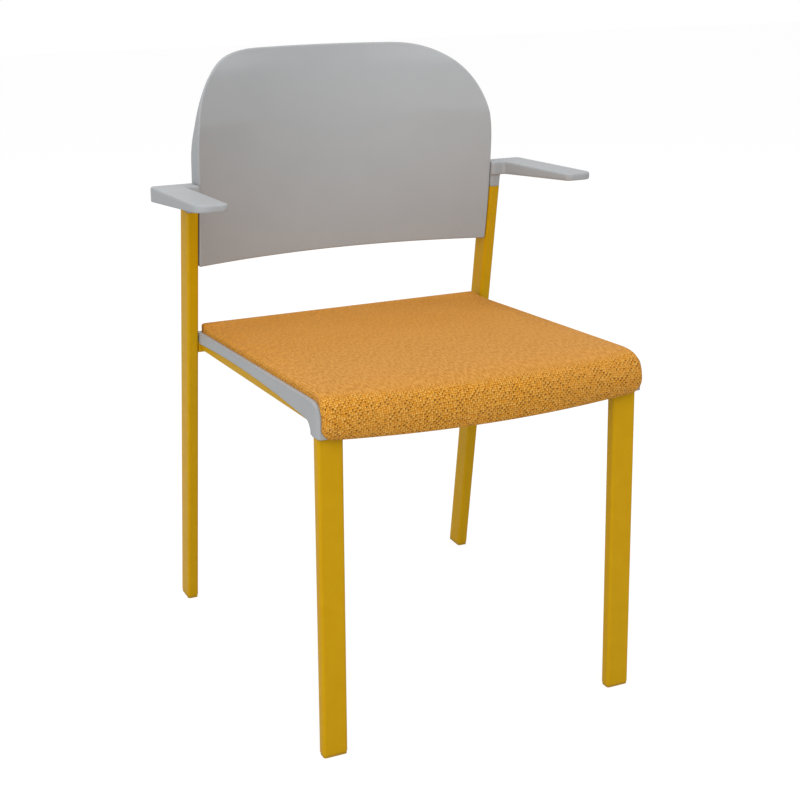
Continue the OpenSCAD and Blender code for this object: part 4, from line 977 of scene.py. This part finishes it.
def seat_pad(material):
    """Crowned pad with a cover drawn over its edges and down the front roll."""
    half = pad_plan()
    plan = half + [(-x, y, part) for x, y, part in half[-2:0:-1]]
    n = len(plan)

    def level(p, k):
        mirrored = (abs(p[0]), p[1], p[2])
        x, y, z = front_level(mirrored, k) if p[2] == "front" else side_level(mirrored, k)
        return math.copysign(x, p[0]), y, z

    rings = [np.array([level(p, k) for p in plan]) for k in range(TOP_LEVEL + 1)]
    count = len(rings) * n
    under, under_faces = fill_ring(rings[0], count, 0, PAD_GRID_CORNER)
    crown, crown_faces = fill_ring(rings[-1], count + len(under), count - n, PAD_GRID_CORNER)
    crown[:, 2] = pad_top_z(crown[:, 0], crown[:, 1])
    verts = np.concatenate(rings + [under, crown])
    faces = strips(len(rings), n) + [face[::-1] for face in under_faces] + crown_faces
    piece = new_piece("seat_pad", verts, faces, material)
    weave_on(piece.data, plan, rings, np.concatenate([under[:, :2], crown[:, :2]]))
    swell(piece)
    finer = piece.modifiers.new("finer", "SUBSURF")
    finer.levels = finer.render_levels = 1
    settle(piece)
    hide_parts("seat_cushion")


def settle(piece):
    """Applies the piece's modifiers to its mesh."""
    graph = bpy.context.evaluated_depsgraph_get()
    mesh = bpy.data.meshes.new_from_object(piece.evaluated_get(graph))
    piece.modifiers.clear()
    piece.data = mesh


def points_of(mesh):
    """The mesh's points, one in each row."""
    flat = np.empty(len(mesh.vertices) * 3, np.float32)
    mesh.vertices.foreach_get("co", flat)
    return flat.reshape(-1, 3).astype(float)


def swell(piece):
    """Blows up an even copy, held below the rim and under the roll, and takes over its way out."""
    trial = bpy.data.objects.new("pad_trial", piece.data.copy())
    scene = bpy.context.scene
    scene.collection.objects.link(trial)
    even = trial.modifiers.new("even", "REMESH")
    even.mode = "VOXEL"
    even.voxel_size = VOXEL
    settle(trial)
    start = points_of(trial.data)
    _, y, z = start.T
    rim = pad_edge_z(y) - PAD_EDGE_RISE
    above_rim = smooth((z - rim) / PAD_EDGE_RISE)
    ahead = smooth((-PAN_FRONT - ROLL_FREE_AHEAD - y) / ROLL_AHEAD_RUN)
    roll = ahead * smooth((z - PAD_BOTTOM_Z - ROLL_FREE_ABOVE) / ROLL_ABOVE_RUN)
    held = 1 - np.maximum(above_rim, roll)
    group = trial.vertex_groups.new(name="held")
    for index, weight in enumerate(held):
        if weight > LEAST_HOLD:
            group.add([index], float(weight), "REPLACE")
    cloth = trial.modifiers.new("cover", "CLOTH")
    cloth.settings.quality = CLOTH_QUALITY
    cloth.settings.use_pressure = True
    cloth.settings.uniform_pressure_force = PRESSURE
    cloth.settings.vertex_group_mass = group.name
    cloth.settings.effector_weights.gravity = 0.0
    cloth.collision_settings.use_collision = False
    cloth.point_cache.frame_start = 1
    cloth.point_cache.frame_end = LAST_FRAME
    for number in range(1, LAST_FRAME + 1):
        scene.frame_set(number)
    graph = bpy.context.evaluated_depsgraph_get()
    moved = points_of(trial.evaluated_get(graph).data) - start
    scene.frame_set(1)

    # Each point of the form takes the outward part of its nearest point's way, up to the cap
    corners = [tuple(face.vertices) for face in trial.data.polygons]
    spots = [Vector(p) for p in start]
    tree = BVHTree.FromPolygons(spots, corners)
    placed = points_of(piece.data)
    normals = np.array([tuple(vertex.normal) for vertex in piece.data.vertices])
    for index, place in enumerate(placed.copy()):
        spot, _, face, _ = tree.find_nearest(place)
        shares = poly_3d_calc([spots[i] for i in corners[face]], spot)
        outward = float(np.dot(shares, moved[list(corners[face])]) @ normals[index])
        placed[index] += normals[index] * SWELL_CAP * math.tanh(max(0.0, outward) / SWELL_CAP)
    piece.data.vertices.foreach_set("co", placed.astype(np.float32).ravel())
    piece.data.update()
    bpy.data.objects.remove(trial)


def weave_on(mesh, plan, rings, inside):
    """Writes each point's place on the cloth as cut, and how far the knit is stretched open."""
    top = rings[TOP_LEVEL]
    run = (np.roll(top, -1, axis=0) - np.roll(top, 1, axis=0))[:, :2]
    outward = np.stack([run[:, 1], -run[:, 0]], 1)
    outward /= np.maximum(np.linalg.norm(outward, axis=1), 1e-9)[:, None]
    outward[[p[2] == "front" for p in plan]] = (0, -1)
    onward = np.stack([-outward[:, 1], outward[:, 0]], 1)
    # The cloth runs on round the roll's corners at its own width
    past = np.array([max(0.0, abs(p[0]) - PAD_CORNER_X) * (p[2] == "front") for p in plan])
    spare = PAD_CORNER_R * np.arcsin(np.minimum(1, past / PAD_CORNER_R)) - past
    flat = [top[:, :2]]
    for k in range(TOP_LEVEL - 1, -1, -1):
        step = rings[k] - rings[k + 1]
        slide = (step[:, :2] * onward).sum(1)
        fall = np.sqrt(np.maximum(0, (step ** 2).sum(1) - slide ** 2))
        flat.insert(0, flat[0] + outward * fall[:, None] + onward * slide[:, None])
    for k in range(TOP_LEVEL):
        flat[k][:, 0] += np.sign(top[:, 0]) * spare * smooth((TOP_LEVEL - k) / SPARE_LEVELS)
    cloth = np.concatenate(flat + [inside])
    cloth = np.concatenate([cloth, np.zeros((len(cloth), 1))], 1)
    attribute = mesh.attributes.new("cloth", "FLOAT_VECTOR", "POINT")
    attribute.data.foreach_set("vector", cloth.astype(np.float32).ravel())
    x, y = cloth[:, 0], cloth[:, 1]
    over_side = smooth((np.abs(x) - PAD_HALF + OVER_SIDE_IN) / OVER_SIDE_RUN) * (y > SIDE_FROM)
    # Slack grows towards the rear, and with it the painted shade of the gaps and holes on flat
    # cloth
    behind = SLACK_SHADE_LEAST + (1 - SLACK_SHADE_LEAST) * smooth((y - SLACK_SHADE_FROM) / SLACK_SHADE_RUN)
    bow = OPEN_BOW * (1 - np.minimum(1, (x / PAD_HALF) ** 2))
    opened = OPEN_LEAST + (1 - OPEN_LEAST) * smooth((OPEN_FROM - bow - y) / OPEN_RUN)
    for name, values in (
        ("opened", np.maximum(opened, OPEN_AT_SIDE * over_side)),
        ("slack_and_rear_shade", np.maximum(behind, over_side)),
    ):
        attribute = mesh.attributes.new(name, "FLOAT", "POINT")
        attribute.data.foreach_set("value", values.astype(np.float32))


# Armrests
WELD = 0.001 * MM
FLAT_ANGLE = math.radians(0.3)
ARM_VOXEL = 1.2 * MM
ARM_ROUNDS = 8
ARM_SOFTNESS = 0.5


def copy_of(node, name, material):
    """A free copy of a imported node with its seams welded."""
    shape = bmesh.new()
    shape.from_mesh(frame["nodes"][node].data)
    bmesh.ops.remove_doubles(shape, verts=shape.verts, dist=WELD)
    bmesh.ops.dissolve_limit(shape, angle_limit=FLAT_ANGLE, verts=shape.verts, edges=shape.edges)
    mesh = bpy.data.meshes.new(name)
    shape.to_mesh(mesh)
    shape.free()
    mesh.materials.clear()
    mesh.materials.append(material)
    piece = bpy.data.objects.new(name, mesh)
    bpy.context.scene.collection.objects.link(piece)
    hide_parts(node)
    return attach(piece, "root")


def armrest(node, name, material):
    """Armrest with soft edges and its stub blended into it."""
    piece = copy_of(node, name, material)
    even = piece.modifiers.new("even", "REMESH")
    even.mode = "VOXEL"
    even.voxel_size = ARM_VOXEL
    even.use_smooth_shade = True
    soft = piece.modifiers.new("soft", "SMOOTH")
    soft.factor = ARM_SOFTNESS
    soft.iterations = ARM_ROUNDS
    settle(piece)
    piece.data.shade_smooth()


def dress(materials):
    """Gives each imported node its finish."""
    for part in frame["record"]["subparts"]:
        node = frame["nodes"][part["node"]]
        node.data.materials.clear()
        node.data.materials.append(materials[part["material_slot"]])


# Stage: strength of the world's light on the object, and looks of the floor
WORLD_LIGHT = 0.62
FLOOR_REACH = 9.0
FLOOR_BOUNCE = (0.60, 0.60, 0.60, 1)
FLOOR_SHADE = (0.20, 0.20, 0.20, 1)
FLOOR_GLOW = 0.86

# Soft square lamps: name, place, aim, side in metres and power in watts
LAMPS = (
    ("key", (-0.9, -2.9, 2.3), (0, 0, 0.45), 1.8, 36),
    ("left", (-2.8, -0.4, 1.3), (0, 0, 0.5), 1.8, 20),
    ("fill", (2.4, -1.8, 1.8), (0, 0, 0.5), 2.0, 2),
    ("top", (0.2, 0.4, 3.4), (0, 0, 0.4), 2.2, 32),
    ("back", (0.6, 3.2, 2.2), (0, 0, 0.5), 2.6, 10),
)


def make_world():
    """A white surround, which lights the object less than it shows."""
    world = bpy.data.worlds.new("world")
    bpy.context.scene.world = world
    world.use_nodes = True
    nodes, links = world.node_tree.nodes, world.node_tree.links
    nodes.clear()
    path = nodes.new("ShaderNodeLightPath")
    seen = nodes.new("ShaderNodeMath")
    seen.operation = "MAXIMUM"
    links.new(path.outputs["Is Camera Ray"], seen.inputs[0])
    links.new(path.outputs["Is Transmission Ray"], seen.inputs[1])
    back = nodes.new("ShaderNodeBackground")
    back.inputs["Color"].default_value = (1, 1, 1, 1)
    strength = nodes.new("ShaderNodeMapRange")
    strength.inputs["To Min"].default_value = WORLD_LIGHT
    strength.inputs["To Max"].default_value = 1.0
    links.new(seen.outputs[0], strength.inputs["Value"])
    links.new(strength.outputs[0], back.inputs["Strength"])
    links.new(back.outputs[0], nodes.new("ShaderNodeOutputWorld").inputs["Surface"])


def make_floor():
    """A white floor that keeps a soft shadow."""
    reach = FLOOR_REACH
    corners = [(-reach, -reach, 0), (reach, -reach, 0), (reach, reach, 0), (-reach, reach, 0)]
    mesh = bpy.data.meshes.new("floor")
    mesh.from_pydata(corners, [], [(0, 1, 2, 3)])
    floor = bpy.data.objects.new("floor", mesh)
    bpy.context.scene.collection.objects.link(floor)
    material = bpy.data.materials.new("floor_white")
    material.use_nodes = True
    nodes, links = material.node_tree.nodes, material.node_tree.links
    nodes.clear()
    path = nodes.new("ShaderNodeLightPath")
    plain = nodes.new("ShaderNodeBsdfDiffuse")
    plain.inputs["Color"].default_value = FLOOR_BOUNCE
    soft = nodes.new("ShaderNodeBsdfDiffuse")
    soft.inputs["Color"].default_value = FLOOR_SHADE
    glow = nodes.new("ShaderNodeEmission")
    glow.inputs["Strength"].default_value = FLOOR_GLOW
    both = nodes.new("ShaderNodeAddShader")
    links.new(soft.outputs[0], both.inputs[0])
    links.new(glow.outputs[0], both.inputs[1])
    pick = nodes.new("ShaderNodeMixShader")
    links.new(path.outputs["Is Camera Ray"], pick.inputs["Fac"])
    links.new(plain.outputs[0], pick.inputs[1])
    links.new(both.outputs[0], pick.inputs[2])
    links.new(pick.outputs[0], nodes.new("ShaderNodeOutputMaterial").inputs["Surface"])
    mesh.materials.append(material)


def lamp(name, at, towards, side, power):
    """A square lamp that shines towards a point."""
    data = bpy.data.lights.new(name, "AREA")
    data.shape = "SQUARE"
    data.size = side
    data.energy = power
    light = bpy.data.objects.new(name, data)
    bpy.context.scene.collection.objects.link(light)
    light.location = at
    light.rotation_euler = (Vector(towards) - Vector(at)).to_track_quat("-Z", "Y").to_euler()


make_camera()
finishes = {
    "frame_paint": painted_steel(),
    "glide_plastic": glide_plastic(),
    "grey_moulding": grey_moulding(),
    "seat_fabric": seat_fabric(),
    "plywood": plywood(),
    "zinc_steel": metal("zinc_steel", ZINC, 0.32),
    "insert_brass": metal("insert_brass", BRASS, 0.30),
}
dress(finishes)
backrest(finishes["grey_moulding"])
seat_pad(finishes["seat_fabric"])
armrest("left_armrest", "left_arm", finishes["grey_moulding"])
armrest("right_armrest", "right_arm", finishes["grey_moulding"])
make_world()
make_floor()
for settings in LAMPS:
    lamp(*settings)
bpy.context.scene.view_settings.view_transform = "Standard"
